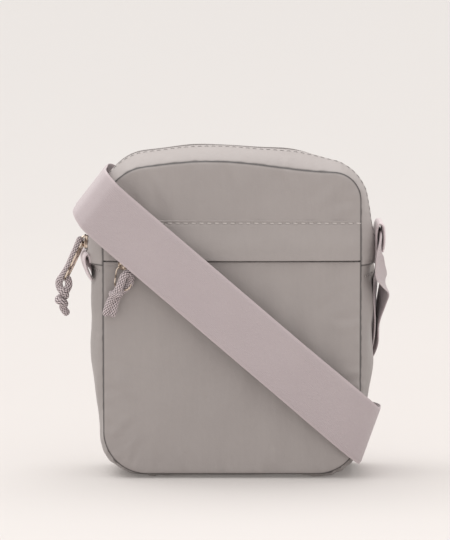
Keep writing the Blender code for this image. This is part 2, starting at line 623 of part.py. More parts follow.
def strap_adjuster():
    """The metal slide: a closed wire loop that goes round both layers of the doubled webbing."""
    across = np.array([math.sin(ADJUSTER_ANGLE), 0, math.cos(ADJUSTER_ANGLE)])
    loop = []
    for side, y in ((1, ADJUSTER_FRONT), (1, ADJUSTER_BACK), (-1, ADJUSTER_BACK), (-1, ADJUSTER_FRONT)):
        loop.append(ADJUSTER_AT + across * side * ADJUSTER_HALF + np.array([0, y, 0]))
    path = []
    for a, b in zip(loop, loop[1:] + loop[:1]):
        for t in (0.06, 0.5, 0.94):
            path.append(a + (b - a) * t)
    points, faces = tube_mesh(path, [ADJUSTER_RADIUS] * len(path), 8, closed=True)
    return add_object("strap_adjuster", points, faces, METAL, 0.3, 1.0)


strap_adjuster()
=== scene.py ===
import json
import math

import bpy
import numpy as np
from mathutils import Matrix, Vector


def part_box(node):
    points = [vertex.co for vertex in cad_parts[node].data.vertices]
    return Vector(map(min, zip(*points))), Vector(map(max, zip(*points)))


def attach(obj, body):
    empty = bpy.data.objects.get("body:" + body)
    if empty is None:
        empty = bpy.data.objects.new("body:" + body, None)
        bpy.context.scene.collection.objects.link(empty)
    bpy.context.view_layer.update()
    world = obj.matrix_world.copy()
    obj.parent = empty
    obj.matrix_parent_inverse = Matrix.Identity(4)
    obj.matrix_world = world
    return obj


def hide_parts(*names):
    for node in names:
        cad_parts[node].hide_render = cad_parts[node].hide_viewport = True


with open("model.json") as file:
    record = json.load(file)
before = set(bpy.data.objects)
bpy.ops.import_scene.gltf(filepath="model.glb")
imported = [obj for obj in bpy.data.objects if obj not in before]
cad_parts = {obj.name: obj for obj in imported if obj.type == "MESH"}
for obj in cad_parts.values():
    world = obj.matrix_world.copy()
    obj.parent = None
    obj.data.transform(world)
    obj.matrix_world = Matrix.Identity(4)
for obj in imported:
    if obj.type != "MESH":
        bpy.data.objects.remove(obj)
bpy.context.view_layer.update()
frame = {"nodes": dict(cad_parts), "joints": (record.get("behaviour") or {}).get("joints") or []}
MM = 0.001

# ---------------------------------------------------------------------------------------------------------
# Camera, floor and light. The bag stands on a pale seamless sweep, under one big soft light from the upper
# left and a bright even room.

VIEW_WIDTH = 0.2871            # what the picture is wide at the front panel
CAMERA_DISTANCE = 2.2
CAMERA_RISE = math.radians(6.0)
CAMERA_AIM = (-4.4 * MM, -31 * MM, 134.4 * MM)

scene = bpy.context.scene
scene.view_settings.view_transform = "Standard"
camera_data = bpy.data.cameras.new("camera")
camera_data.sensor_fit = "HORIZONTAL"
camera_data.sensor_width = 36.0
camera_data.lens = 36.0 * CAMERA_DISTANCE / VIEW_WIDTH
camera = bpy.data.objects.new("camera", camera_data)
camera.location = (
    CAMERA_AIM[0],
    CAMERA_AIM[1] - CAMERA_DISTANCE * math.cos(CAMERA_RISE),
    CAMERA_AIM[2] + CAMERA_DISTANCE * math.sin(CAMERA_RISE),
)
camera.rotation_euler = (math.pi / 2 - CAMERA_RISE, 0, 0)
bpy.context.collection.objects.link(camera)
scene.camera = camera

key_data = bpy.data.lights.new("softbox", "SUN")
key_data.energy = 2.5
key_data.angle = math.radians(75)
key_data.color = (1.0, 0.992, 0.985)
key = bpy.data.objects.new("softbox", key_data)
key.rotation_euler = (math.radians(-19), math.radians(-14), 0)
bpy.context.collection.objects.link(key)
world = bpy.data.worlds.new("room")
world.use_nodes = True
world.node_tree.nodes["Background"].inputs["Color"].default_value = (1.0, 0.975, 0.955, 1)
world.node_tree.nodes["Background"].inputs["Strength"].default_value = 0.95
scene.world = world


class Value:
    """A shader socket that takes Python arithmetic: each operator adds one Math node."""

    def __init__(self, finish, socket):
        self.finish = finish
        self.socket = socket

    def math(self, operation, first, second):
        """The result of one Math node."""
        return self.finish.node("Math", {"operation": operation}, {0: first, 1: second}).out()

    def __add__(self, other):
        return self.math("ADD", self, other)

    def __radd__(self, other):
        return self.math("ADD", other, self)

    def __sub__(self, other):
        return self.math("SUBTRACT", self, other)

    def __mul__(self, other):
        return self.math("MULTIPLY", self, other)


class Made:
    """A node just added, whose outputs are read by name or number."""

    def __init__(self, finish, node):
        self.finish = finish
        self.real = node

    def out(self, which=0):
        """One output of the node, by name or number."""
        return Value(self.finish, self.real.outputs[which])


class Finish:
    """A material on one Principled shader, and the nodes that vary it."""

    def __init__(self, name, roughness=0.6, metallic=0.0, **constants):
        self.material = bpy.data.materials.new(name)
        self.material.use_nodes = True
        self.tree = self.material.node_tree
        self.shader = self.tree.nodes["Principled BSDF"]
        self.shader.inputs["Roughness"].default_value = roughness
        self.shader.inputs["Metallic"].default_value = metallic
        for socket, number in constants.items():
            self.shader.inputs[socket.replace("_", " ").title()].default_value = number

    def node(self, kind, settings, sockets):
        """Add a node by type, set its settings, then fill its sockets with numbers, colours or links."""
        node = self.tree.nodes.new("ShaderNode" + kind)
        for key, setting in settings.items():
            if key == "stops":
                ramp = node.color_ramp
                for stop, (place, grey) in zip(ramp.elements, setting):
                    stop.position = place
                    stop.color = (grey, grey, grey, 1)
            else:
                setattr(node, key, setting)
        for key, value in sockets.items():
            if isinstance(value, Value):
                self.tree.links.new(value.socket, node.inputs[key])
            else:
                node.inputs[key].default_value = value
        return Made(self, node)

    def place(self):
        """Where a point is on the piece, in metres."""
        return self.node("TexCoord", {}, {}).out("Object")

    def mark(self, name):
        """A number that the mesh carries at each point."""
        return self.node("Attribute", {"attribute_name": name}, {}).out("Fac")

    def noise(self, scale, detail=2.0, rough=0.5, vector=None):
        """Cloudy noise, scale being how many of its cells fit in a metre."""
        where = vector if vector is not None else self.place()
        sockets = {"Vector": where, "Scale": scale, "Detail": detail, "Roughness": rough}
        return self.node("TexNoise", {}, sockets).out()

    def ramp(self, value, *stops):
        """A grey that goes from the first stop to the second, each a value and its grey."""
        return self.node("ValToRGB", {"stops": stops}, {0: value}).out()

    def mix(self, share, first, second, blend="MIX"):
        """Two colours mixed by a share."""
        node = self.tree.nodes.new("ShaderNodeMix")
        node.data_type = "RGBA"
        node.blend_type = blend
        for key, value in ((0, share), (6, first), (7, second)):
            if isinstance(value, Value):
                self.tree.links.new(value.socket, node.inputs[key])
            else:
                node.inputs[key].default_value = (*value, 1) if isinstance(value, tuple) else value
        return Value(self, node.outputs[2])

    def set(self, socket, value):
        """Link a value to an input of the shader."""
        self.tree.links.new(value.socket, self.shader.inputs[socket])

    def bump(self, height, distance, strength):
        """Shade the surface as if it rose by a height, which counts in units of the distance."""
        made = self.node("Bump", {}, {"Height": height, "Distance": distance, "Strength": strength})
        self.set("Normal", made.out())


SWEEP_NEAR, SWEEP_FAR, SWEEP_SIDE, SWEEP_HEIGHT, SWEEP_BEND = -3.0, 1.6, 3.5, 3.2, 0.9
bend = np.linspace(0, math.pi / 2, 16)
sweep_line = np.array(
    [(SWEEP_NEAR, 0.0)]
    + [(SWEEP_FAR + SWEEP_BEND * math.sin(a), SWEEP_BEND * (1 - math.cos(a))) for a in bend]
    + [(SWEEP_FAR + SWEEP_BEND, SWEEP_HEIGHT)]
)
sweep_points = [(side, y, z - 0.00005) for side in (-SWEEP_SIDE, SWEEP_SIDE) for y, z in sweep_line]
steps = len(sweep_line)
sweep_faces = [(i, steps + i, steps + i + 1, i + 1) for i in range(steps - 1)]
sweep_mesh = bpy.data.meshes.new("sweep")
sweep_mesh.from_pydata(sweep_points, [], sweep_faces)
sweep_mesh.shade_smooth()
sweep = bpy.data.objects.new("sweep", sweep_mesh)
bpy.context.collection.objects.link(sweep)
paper = Finish("pale_paper", roughness=0.95)
paper.shader.inputs["Specular IOR Level"].default_value = 0.1
paper.shader.inputs["Emission Strength"].default_value = 0.31
depth = paper.node("SeparateXYZ", {}, {0: paper.place()}).out("Y")
far = paper.ramp(depth * 0.25, (0.1, 0.0), (0.7, 1.0))
paper.set("Emission Color", paper.mix(far, (0.44, 0.41, 0.39), (1.38, 1.35, 1.32)))
grain = paper.mix(paper.noise(3.0), (1.0, 1.0, 1.0), (0.98, 0.98, 0.98))
paper.set("Base Color", paper.mix(1.0, paper.mix(far, (0.53, 0.508, 0.495), (0.41, 0.393, 0.381)), grain, "MULTIPLY"))
sweep_mesh.materials.append(paper.material)

# ---------------------------------------------------------------------------------------------------------
# Strap. One length of 38 mm lilac polyester webbing, close-woven with a firm selvedge. Its sewn end is at the
# adjuster; it goes up through the right tab, back through the adjuster, round the upper left of the bag, down
# the front, round the lower right and across the back to the left tab.

# Centre line and half-width vector at each place, in millimetres. The centre line is the CAD's. The last three
# half-widths, where the webbing is pinched into the left tab, are larger than the CAD's.
STRAP_ROUTE = [
    (54, 36.2, 84.6, 5.5, 0, 17.4), (74, 36.2, 80, 2, 0, 18.1), (86.8, 34.8, 83, 1, 3, 17.6),
    (92.2, 25, 91, 1, 11, 13.5), (92.9, 11, 103, 0.5, 16, 7.5), (92.9, 3, 116, 1.6, 16, 4),
    (93.4, 8, 128, 1.6, 13, 5.5), (94.9, 20.5, 139, 0.8, 3, 6), (95.1, 22, 147, 0.8, 1, 6),
    (95.2, 14, 152, 0.6, 0, 6), (95.2, -12, 152, 0.6, 0, 6), (95.0, -21.6, 149, 0.2, -2.3, 4.5),
    (94.8, -23.4, 143, -2.1, -3.5, 1), (95.2, -20, 136.5, -3.1, -8, 0.8),
    (95.9, -16, 130, -3.9, -12, -0.5), (98.0, -9, 124.6, -1.6, -14.5, -1.8),
    (98.9, -4, 120.4, 1.9, -14.5, -3), (97.4, 2, 113.5, 1.3, -15, -4.5),
    (95.4, 12, 103.6, -0.2, -15.2, -7.6), (94.8, 28, 92, 0.2, -11.3, -13.5),
    (90.4, 39.2, 83.5, -1, -3, -17.6), (78, 42.2, 79.6, -2, 0, -18.1), (57, 42.2, 83.4, -5.5, 0, -17.4),
    (34, 38.2, 96, -8.6, 0, -16.1), (0, 36.4, 121, -10.3, 0, -15.1), (-44, 36.8, 151, -10.4, 0, -15),
    (-74, 37.2, 173, -10.8, 0, -14.7), (-86.6, 34.2, 182.2, -10.9, 0, -14.0),
    (-90.6, 26, 184.6, -10.6, 0, -13.6), (-90.9, 0, 184.8, -10.5, 0, -13.4),
    (-90.6, -30, 184.6, -10.6, 0, -13.5), (-86.8, -40, 179.4, -11.1, 0, -14.0),
    (-77.8, -43.5, 170.3, -11.9, 0, -13.8), (-40, -43.6, 137.8, -11.9, 0, -13.8),
    (0, -43.6, 103.4, -11.9, 0, -13.8), (36, -43.2, 72.5, -11.9, 0, -13.8),
    (62, -40.0, 50.0, -11.4, 0, -14.6), (79, -36.6, 35.2, -8.8, 0, -16.9),
    (87.2, -29.5, 27.8, -6.7, 0, -18.3), (89.3, -14, 26.4, -6.7, 0, -18.3),
    (89.3, 8, 24.2, -6.7, 0, -18.3), (87.6, 27, 22.6, -6.0, 0, -18.3), (78, 35.4, 23.6, -3, 0, -18.2),
    (52, 36.4, 27, -0.8, 0, -18.3), (14, 36.4, 35, -3.4, 0, -18), (-24, 36.4, 48, -7.4, 0, -16.7),
    (-52, 36.4, 69, -11, 0, -14.6), (-69, 36.6, 92, -13, 0, -12.6), (-79, 36.0, 110, -9, 1.5, -13.5),
    (-86.8, 34.8, 124, -3.0, 2.2, -9), (-92.0, 26, 132, -0.4, 1.5, -4.5),
    (-97.35, 20.5, 137.4, 0, 0.2, -2.4), (-95.9, 12, 137.6, 0, 0, -2.4), (-95.4, 6, 137.6, 0, 0, -2.4),
]
STRAP_ROWS = 560
STRAP_WIDTH = 0.0365
STRAP_HALF_THICKNESS = 0.7 * MM


def lengths_along(line):
    """The length run at each point of a line, from nought at its first."""
    return np.concatenate([[0], np.cumsum(np.linalg.norm(np.diff(line, axis=0), axis=1))])


def read_at(wanted, lengths, line):
    """Every column of a line, read at the wanted lengths."""
    return np.stack([np.interp(wanted, lengths, column) for column in line.T], axis=1)


def smooth_path(points, count):
    """A Catmull-Rom curve through the points, read at evenly spaced lengths; extra columns ride along."""
    points = np.asarray(points, float)
    padded = np.vstack([2 * points[0] - points[1], points, 2 * points[-1] - points[-2]])
    t = np.linspace(0, 1, 24, endpoint=False)[None, :, None]
    a, b, c, d = (padded[k:len(padded) - 3 + k][:, None, :] for k in range(4))
    curve = 0.5 * (2 * b + (c - a) * t + (2 * a - 5 * b + 4 * c - d) * t**2 + (3 * b - a - 3 * c + d) * t**3)
    curve = np.vstack([curve.reshape(-1, points.shape[1]), points[-1:]])
    lengths = lengths_along(curve[:, :3])
    return read_at(np.linspace(0, lengths[-1], count), lengths, curve)


def unit(vectors):
    """The same directions at length one."""
    return vectors / np.maximum(np.linalg.norm(vectors, axis=-1, keepdims=True), 1e-12)


def ripples(across, along, size, seed):
    """A smooth wandering field between about -1 and 1: eight plane waves of about the given size."""
    chance = np.random.default_rng(seed)
    total = np.zeros(np.broadcast(across, along).shape)
    for turn, stretch, phase in chance.uniform((0, 0.7, 0), (2 * math.pi, 1.6, 2 * math.pi), (8, 3)):
        wave = 2 * math.pi / (size * stretch)
        total = total + np.sin(wave * (math.cos(turn) * across + math.sin(turn) * along) + phase)
    return total / 3.0


def put_mesh(name, points, faces, finish, uv=None, marks=None, sharp=50):
    """A mesh object at the origin from arrays; uv and marks are per point. Inside-out shapes are turned."""
    points = np.asarray(points, float).reshape(-1, 3)
    faces = np.asarray(faces)
    tri = faces[:, :3]
    rest = faces[:, [0, 2, 3]] if faces.shape[1] == 4 else tri[:0]
    both = np.concatenate([tri, rest])
    volume = np.einsum("ij,ij->i", points[both[:, 0]], np.cross(points[both[:, 1]], points[both[:, 2]])).sum()
    if volume < 0:
        faces = faces[:, ::-1]
    mesh = bpy.data.meshes.new(name)
    mesh.from_pydata(points.tolist(), [], faces.tolist())
    corner = np.empty(len(mesh.loops), np.int32)
    mesh.loops.foreach_get("vertex_index", corner)
    if uv is not None:
        layer = mesh.uv_layers.new(name="laid_flat")
        layer.data.foreach_set("uv", np.asarray(uv, np.float32).reshape(-1, 2)[corner].ravel())
    for key, values in (marks or {}).items():
        layer = mesh.attributes.new(key, "FLOAT", "POINT")
        layer.data.foreach_set("value", np.asarray(values, np.float32).ravel())
    mesh.shade_smooth()
    mesh.set_sharp_from_angle(angle=math.radians(sharp))
    mesh.materials.append(finish.material)
    thing = bpy.data.objects.new(name, mesh)
    bpy.context.collection.objects.link(thing)
    return thing


def grid_faces(index):
    """The quads of a grid of point numbers."""
    return np.stack([index[:-1, :-1], index[1:, :-1], index[1:, 1:], index[:-1, 1:]], axis=-1).reshape(-1, 4)


def tube_faces(rows, around):
    """Quads of a tube of rows by points around, with a fan of quads over each end."""
    index = np.arange(rows * around).reshape(rows, around)
    faces = [grid_faces(np.hstack([index, index[:, :1]]))]
    k = np.arange(around // 2 - 1)
    for row, flip in ((index[0], 1), (index[-1], -1)):
        cap = np.stack([row[k], row[k + 1], row[around - 2 - k], row[around - 1 - k]], axis=-1)
        faces.append(cap[:, ::flip])
    return np.concatenate(faces)


def ribbon(name, rows, section, finish):
    """Webbing: a closed section of (across, out) points carried along rows of centre and half-width vector."""
    centre, half = rows[:, :3], rows[:, 3:]
    outward = unit(np.cross(np.gradient(centre, axis=0), half))
    lengths = lengths_along(centre)
    points = centre[:, None] + half[:, None] * section[None, :, :1] + outward[:, None] * section[None, :, 1:]
    across = np.broadcast_to(section[None, :, 0] * STRAP_WIDTH / 2, points.shape[:2])
    along = np.broadcast_to(lengths[:, None], points.shape[:2])
    uv = np.stack([across, along], axis=-1)
    return put_mesh(name, points, tube_faces(len(rows), len(section)), finish, uv)


def webbing_section(columns, thickness):
    """The outline of the webbing: flat faces, a slightly thicker selvedge and a rounded edge."""
    u = np.linspace(-1, 1, columns)
    t = thickness * (1 + 0.16 * np.exp(-(((np.abs(u) - 0.95) / 0.03) ** 2)))
    t *= np.sqrt(np.clip(1 - np.clip((np.abs(u) - 0.965) / 0.036, 0, 0.97) ** 2, 0, 1))
    upper = np.stack([u, t], axis=1)
    return np.vstack([upper, upper[::-1] * (1, -1)])


def webbing_finish(name, light):
    """Webbing: fine ribs across the width, faint lines along it, each strand a little lighter or darker, and a
    painted highlight along both edges.
    """
    finish = Finish(name, roughness=0.72, sheen_weight=0.25)
    flat = finish.node("UVMap", {"uv_map": "laid_flat"}, {}).out()
    parts = finish.node("SeparateXYZ", {}, {0: flat})
    u, v = parts.out("X"), parts.out("Y")
    rib = finish.node("Math", {"operation": "SINE"}, {0: v * 6800.0}).out()
    line = finish.node("Math", {"operation": "SINE"}, {0: u * 5400.0}).out()
    fleck = finish.noise(900.0, 2.0, 0.6)
    wear = finish.noise(26.0, 3.0, 0.6)
    edge = finish.node("Math", {"operation": "ABSOLUTE"}, {0: u}).out()
    # Painted highlight: a lighter band along both edges, where the rounded edge catches the light.
    selvedge = finish.ramp(edge * (2 / STRAP_WIDTH), (0.90, 0.0), (0.955, 1.0))
    # light scales the webbing's tones: at 1 they are its own, above 1 the webbing is painted lighter, as painted
    # light.
    worn, fresh = (tuple(light * c for c in tone) for tone in ((0.475, 0.412, 0.425), (0.53, 0.465, 0.472)))
    tone = finish.mix(wear, worn, fresh)
    tone = finish.mix(fleck * 0.35, tone, (0.38, 0.31, 0.335))
    tone = finish.mix(selvedge * 0.35, tone, (0.60, 0.51, 0.52))
    finish.set("Base Color", tone)
    finish.set("Roughness", 0.62 + fleck * 0.2)
    finish.bump(rib * 0.5 + line * 0.1 + fleck * 1.2, 0.14 * MM, 0.8)
    return finish


webbing = webbing_finish("lilac_webbing", 1.0)
strap_rows = smooth_path(np.array(STRAP_ROUTE) * MM, STRAP_ROWS)
strap_length = float(lengths_along(strap_rows[:, :3])[-1])
strap = ribbon("strap_webbing", strap_rows, webbing_section(21, STRAP_HALF_THICKNESS), webbing)
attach(strap, "bag")
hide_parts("strap")

# ---------------------------------------------------------------------------------------------------------
# Zip pulls. Each is a short length of 4.8 mm braided cord, pale lilac strands with painted shade in the hollows
# between them, looped through the metal frame on its slider and tied in one tight knot with a short tail.

CORD_DIAMETER = 4.8 * MM
STRANDS = 16                    # strands each way round the braid


def cord_tube(name, path, finish, radius=CORD_DIAMETER / 2, around=80, pinch=2.0 * MM):
    """A braided cord: a tube along a path whose skin rises where one of two families of helices passes over
    the other, and whose ends draw in."""
    path = np.asarray(path, float)
    tangent = unit(np.gradient(path, axis=0))
    first = unit(np.cross(tangent[0], (0.2, 1.0, 0.3)))
    sides = np.empty_like(path)
    for i, along in enumerate(tangent):
        first = unit(first - along * np.dot(first, along))
        sides[i] = first
    ups = np.cross(tangent, sides)
    lengths = lengths_along(path)
    angle = np.linspace(0, 2 * math.pi, around, endpoint=False)
    turn = lengths[:, None] / (1.2 * radius)
    one_way = STRANDS / 2 * (angle[None] + turn) / math.tau
    other_way = STRANDS / 2 * (angle[None] - turn) / math.tau
    on_top = (np.floor(one_way) + np.floor(other_way)) % 2
    over = np.abs(np.sin(math.pi * np.where(on_top, one_way, other_way)))
    end = np.minimum(lengths, lengths[-1] - lengths)[:, None]
    taper = np.sqrt(np.clip(1 - np.clip(1 - end / pinch, 0, 0.97) ** 2, 0, 1))
    reach = radius * taper * (0.92 + 0.09 * over)
    points = path[:, None] + reach[..., None] * (
        np.cos(angle)[None, :, None] * sides[:, None] + np.sin(angle)[None, :, None] * ups[:, None]
    )
    return put_mesh(name, points, tube_faces(len(path), around), finish, marks={"over": over})


def braid_finish():
    """Braid: pale strands where they pass over, and painted shade as dark specks in the hollows between."""
    finish = Finish("braided_cord", roughness=0.8, sheen_weight=0.2)
    over = finish.mark("over")
    fleck = finish.noise(1500.0, 2.0, 0.7)
    share = finish.ramp(over + (fleck - 0.5) * 0.5, (0.44, 0.0), (0.72, 1.0))
    # Painted shade: near black where a strand passes under another.
    tone = finish.mix(share, (0.05, 0.035, 0.04), (0.66, 0.575, 0.585))
    finish.set("Base Color", tone)
    finish.bump(over * 0.4 + fleck * 0.5, 0.15 * MM, 0.9)
    return finish


braid = braid_finish()
MAIN_PULL_ROUTE = [
    (-97.7, 0, 153.0), (-98.2, 0, 150.6), (-100.3, 0, 145.4), (-103.0, 0, 139.4), (-105.8, 0, 133.2),
    (-109.0, 0.2, 128.0), (-111.7, 0.6, 123.8), (-111.4, 0.6, 119.8), (-109.4, -1.6, 117.2), (-107.6, -1.0, 115.2),
    (-108.6, 1.9, 113.6), (-111.6, 1.6, 112.8), (-112.2, -1.2, 111.6), (-109.9, -2.3, 110.6), (-108.2, -0.4, 109.4),
    (-109.4, 0.6, 107.0), (-107.6, 0.2, 104.0), (-105.6, 0, 102.2),
]
main_pull_path = smooth_path(np.array(MAIN_PULL_ROUTE) * MM, 360)
main_pull_length = float(lengths_along(main_pull_path)[-1])
main_pull = cord_tube("main_pull_braid", main_pull_path, braid)
MAIN_PULL_LEG = [
    (-107.6, 1.2, 126.8), (-106.0, 0.2, 124.6), (-105.6, -0.8, 121.4), (-107.0, -0.6, 118.2), (-109.4, 0, 114.6),
]
main_leg = cord_tube("main_pull_second_leg", smooth_path(np.array(MAIN_PULL_LEG) * MM, 90), braid)
for piece in (main_pull, main_leg):
    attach(piece, "main_pull")
    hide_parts("main_pull_cord", "main_pull_knot")

POCKET_PULL_ROUTE = [
    (-80.3, -36.2, 105.2), (-79.6, -36.8, 109.0), (-77.6, -37.4, 114.6), (-74.8, -38.8, 119.4), (-72.2, -40.1, 123.0),
    (-70.4, -40.2, 127.2), (-68.6, -40.0, 131.4), (-66.2, -38.4, 133.2), (-64.5, -35.8, 130.6), (-64.9, -34.4, 126.6),
    (-67.4, -34.0, 123.4), (-70.6, -34.3, 120.8), (-73.0, -35.2, 117.4), (-74.6, -36.4, 113.0), (-75.6, -36.8, 108.6),
    (-76.5, -36.6, 104.8),
]
pocket_pull_path = smooth_path(np.array(POCKET_PULL_ROUTE) * MM, 330)
pocket_pull_length = float(lengths_along(pocket_pull_path)[-1])
pocket_pull = cord_tube("pocket_pull_braid", pocket_pull_path, braid)
POCKET_WRAP = [
    (-71.0, -35.2, 122.6), (-70.2, -38.4, 121.4), (-72.0, -40.9, 119.6), (-75.0, -40.7, 119.2),
    (-76.8, -37.6, 120.0), (-75.6, -34.6, 120.4),
]
pocket_wrap = cord_tube("pocket_pull_wrap", smooth_path(np.array(POCKET_WRAP) * MM, 80), braid, 1.7 * MM)
for piece in (pocket_pull, pocket_wrap):
    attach(piece, "pocket_pull")
    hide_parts("pocket_pull_cord", "pocket_pull_knot")

# ---------------------------------------------------------------------------------------------------------
# Front and back panels. Thin grey nylon with a soft sheen, cut to one rounded outline with an arched top, and
# turned in to the seam all round. The front is in two: the pocket panel, and the yoke above its zip.

low, high = (np.array(corner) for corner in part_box("back_panel"))
HALF_WIDTH = high[0]
SEAM_BOTTOM = low[2]
ARCH = 7.0 * MM
SEAM_TOP = high[2] - ARCH
CROSS_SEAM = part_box("zip_gusset_front")[0][2]
ARCH_CENTRE, ARCH_HALF = -14.0 * MM, 83.0 * MM
CORNER_BOTTOM, CORNER_LEFT, CORNER_RIGHT = 28.0 * MM, 26.0 * MM, 18.0 * MM
FRONT_SEAM = -30.0 * MM
CLOTH = 0.9 * MM                # how deep a panel or gusset is made, skin to skin
BACK_SEAM = 30.0 * MM


def ease(t):
    """From 0 to 1, level at both ends."""
    t = np.clip(t, 0, 1)
    return t * t * (3 - 2 * t)


def hump(value, centre, width):
    """A bell of height one about a centre."""
    return np.exp(-(((value - centre) / width) ** 2))


def lift(x, z):
    """Raise the upper part of the outline into the arch: a bell across, eased in from the cross seam up."""
    bell = 0.5 + 0.5 * np.cos(math.pi * np.clip((x - ARCH_CENTRE) / ARCH_HALF, -1, 1))
    return z + ARCH * bell * ease((z - CROSS_SEAM) / (SEAM_TOP - CROSS_SEAM))


def seam_bottom(x):
    """The height of the lower seam: level, with a quarter circle up into each side."""
    past = np.clip(np.abs(x) - (HALF_WIDTH - CORNER_BOTTOM), 0, CORNER_BOTTOM)
    return SEAM_BOTTOM + CORNER_BOTTOM - np.sqrt(CORNER_BOTTOM**2 - past**2)


def seam_top(x):
    """The height of the upper seam: a quarter circle at each side, then raised into the arch."""
    corner = np.where(x < 0, CORNER_LEFT, CORNER_RIGHT)
    past = np.clip(np.abs(x) - (HALF_WIDTH - corner), 0, corner)
    return lift(x, SEAM_TOP - corner + np.sqrt(corner**2 - past**2))


def seam_loop(count):
    """The whole seam from the left cross seam over the top and back round the base: points and normals at
    even spacing, made of straight runs and quarter circles, before the arch."""
    left, right = -HALF_WIDTH, HALF_WIDTH
    base = SEAM_BOTTOM + CORNER_BOTTOM
    quarter = [
        (left + CORNER_LEFT, SEAM_TOP - CORNER_LEFT, CORNER_LEFT, 180, 90),
        (right - CORNER_RIGHT, SEAM_TOP - CORNER_RIGHT, CORNER_RIGHT, 90, 0),
        (right - CORNER_BOTTOM, base, CORNER_BOTTOM, 0, -90),
        (left + CORNER_BOTTOM, base, CORNER_BOTTOM, -90, -180),
    ]
    rows = [np.array([[left, CROSS_SEAM, -1, 0]])]
    for x, z, radius, start, stop in quarter:
        angle = np.radians(np.linspace(start, stop, 40))
        normal = np.stack([np.cos(angle), np.sin(angle)], axis=1)
        rows.append(np.hstack([(x, z) + radius * normal, normal]))
    rows.append(rows[0])
    line = np.vstack(rows)
    lengths = lengths_along(line[:, :2])
    wanted = np.linspace(0, lengths[-1], count)
    read = read_at(wanted, lengths, line)
    return read[:, :2], unit(read[:, 2:]), wanted


loop_points, loop_normals, loop_lengths = seam_loop(721)
seam_outline = np.stack([loop_points[:, 0], lift(loop_points[:, 0], loop_points[:, 1])], axis=1)


def from_seam(x, z):
    """How far each point is from the seam, and how far along the seam its nearest place is."""
    near = np.full(x.shape, 1.0)
    along = np.zeros(x.shape)
    corners = seam_outline[::3]
    for (px, pz), (qx, qz), length in zip(corners, corners[1:], loop_lengths[::3]):
        run = math.hypot(qx - px, qz - pz)
        part = np.clip(((x - px) * (qx - px) + (z - pz) * (qz - pz)) / run**2, 0, 1)
        gap = np.hypot(x - px - part * (qx - px), z - pz - part * (qz - pz))
        closer = gap < near
        near = np.where(closer, gap, near)
        along = np.where(closer, length + part * run, along)
    return near, along


def wall(name, outer, inner, finish, marks=None):
    """Two matching grids of points as one closed skin: an outer face, an inner face and a rim."""
    rows, columns = outer.shape[:2]
    front = np.arange(rows * columns).reshape(rows, columns)
    back = front + rows * columns
    border = np.concatenate([front[0, :], front[1:, -1], front[-1, -2::-1], front[-2::-1, 0]])
    rim = np.stack([border[:-1], border[1:], border[1:] + rows * columns, border[:-1] + rows * columns], axis=-1)
    faces = np.concatenate([grid_faces(front)[:, ::-1], grid_faces(back), rim])
    points = np.concatenate([outer.reshape(-1, 3), inner.reshape(-1, 3)])
    both = {key: np.tile(np.asarray(values).ravel(), 2) for key, values in (marks or {}).items()}
    return put_mesh(name, points, faces, finish, marks=both)


def nylon_finish(name, light, dark):
    """Thin crisp nylon: a faint plain weave, fine crumpling, a dull sheen, and painted shade in the seam."""
    finish = Finish(name, roughness=0.56, sheen_weight=0.12, sheen_roughness=0.4)
    # seam is the distance from the seam; close to it the cloth is painted darker, as painted shade in the seam's
    # crease.
    seam = finish.ramp(finish.mark("seam") * 400.0, (0.10, 0.0), (0.46, 1.0))
    cloud = finish.noise(16.0, 3.0, 0.55)
    crumple = finish.noise(130.0, 5.0, 0.6)
    thread = finish.noise(1700.0, 1.0, 0.5)
    stretched = finish.node("Mapping", {}, {"Vector": finish.place(), "Scale": (1.0, 1.0, 0.12)}).out()
    slub = finish.noise(420.0, 2.0, 0.6, stretched)
    tone = finish.mix(finish.ramp(cloud, (0.3, 0.0), (0.7, 1.0)), dark, light)
    tone = finish.mix(slub * 0.22, tone, tuple(0.82 * c for c in dark))
    # Painted shade in the seam.
    tone = finish.mix(seam, tuple(0.13 * c for c in dark), tone)
    finish.set("Base Color", tone)
    finish.set("Roughness", 0.47 + crumple * 0.2)
    finish.bump(crumple * 1.0 + slub * 0.12 + thread * 0.08, 0.9 * MM, 0.42)
    return finish


nylon = nylon_finish("grey_nylon", (0.392, 0.356, 0.344), (0.360, 0.326, 0.316))
# The same nylon made darker: painted shade for the side and base gusset.
shaded_side_nylon = nylon_finish("grey_side_nylon_painted_shade", (0.345, 0.313, 0.302), (0.318, 0.288, 0.279))


def panel_grid(bottom, top, columns, rows):
    """x and z over a panel: columns crowd towards the rounded sides, rows towards both edges."""
    x = -HALF_WIDTH * np.cos(np.linspace(0, math.pi, columns)) * 0.9995
    share = 0.5 - 0.5 * np.cos(np.linspace(0, math.pi, rows))
    share = 0.45 * share + 0.55 * np.linspace(0, 1, rows)
    low_edge = bottom(x) if callable(bottom) else np.full(columns, bottom)
    high_edge = top(x) if callable(top) else np.full(columns, top)
    z = low_edge[:, None] + (high_edge - low_edge)[:, None] * share
    return np.broadcast_to(x[:, None], z.shape), z


def fold(x, z, start, end, width, height):
    """One soft crease between two places: a ridge with a shallower hollow beside it, fading at both ends."""
    (x0, z0), (x1, z1) = np.array(start) * MM, np.array(end) * MM
    length = math.hypot(x1 - x0, z1 - z0)
    along = ((x - x0) * (x1 - x0) + (z - z0) * (z1 - z0)) / length**2
    across = ((x - x0) * (z1 - z0) - (z - z0) * (x1 - x0)) / length / (width * MM)
    reach = ease(along / 0.35) * ease((1 - along) / 0.35)
    return height * MM * reach * (np.exp(-(across**2)) - 0.7 * np.exp(-((across - 1.5) ** 2)))


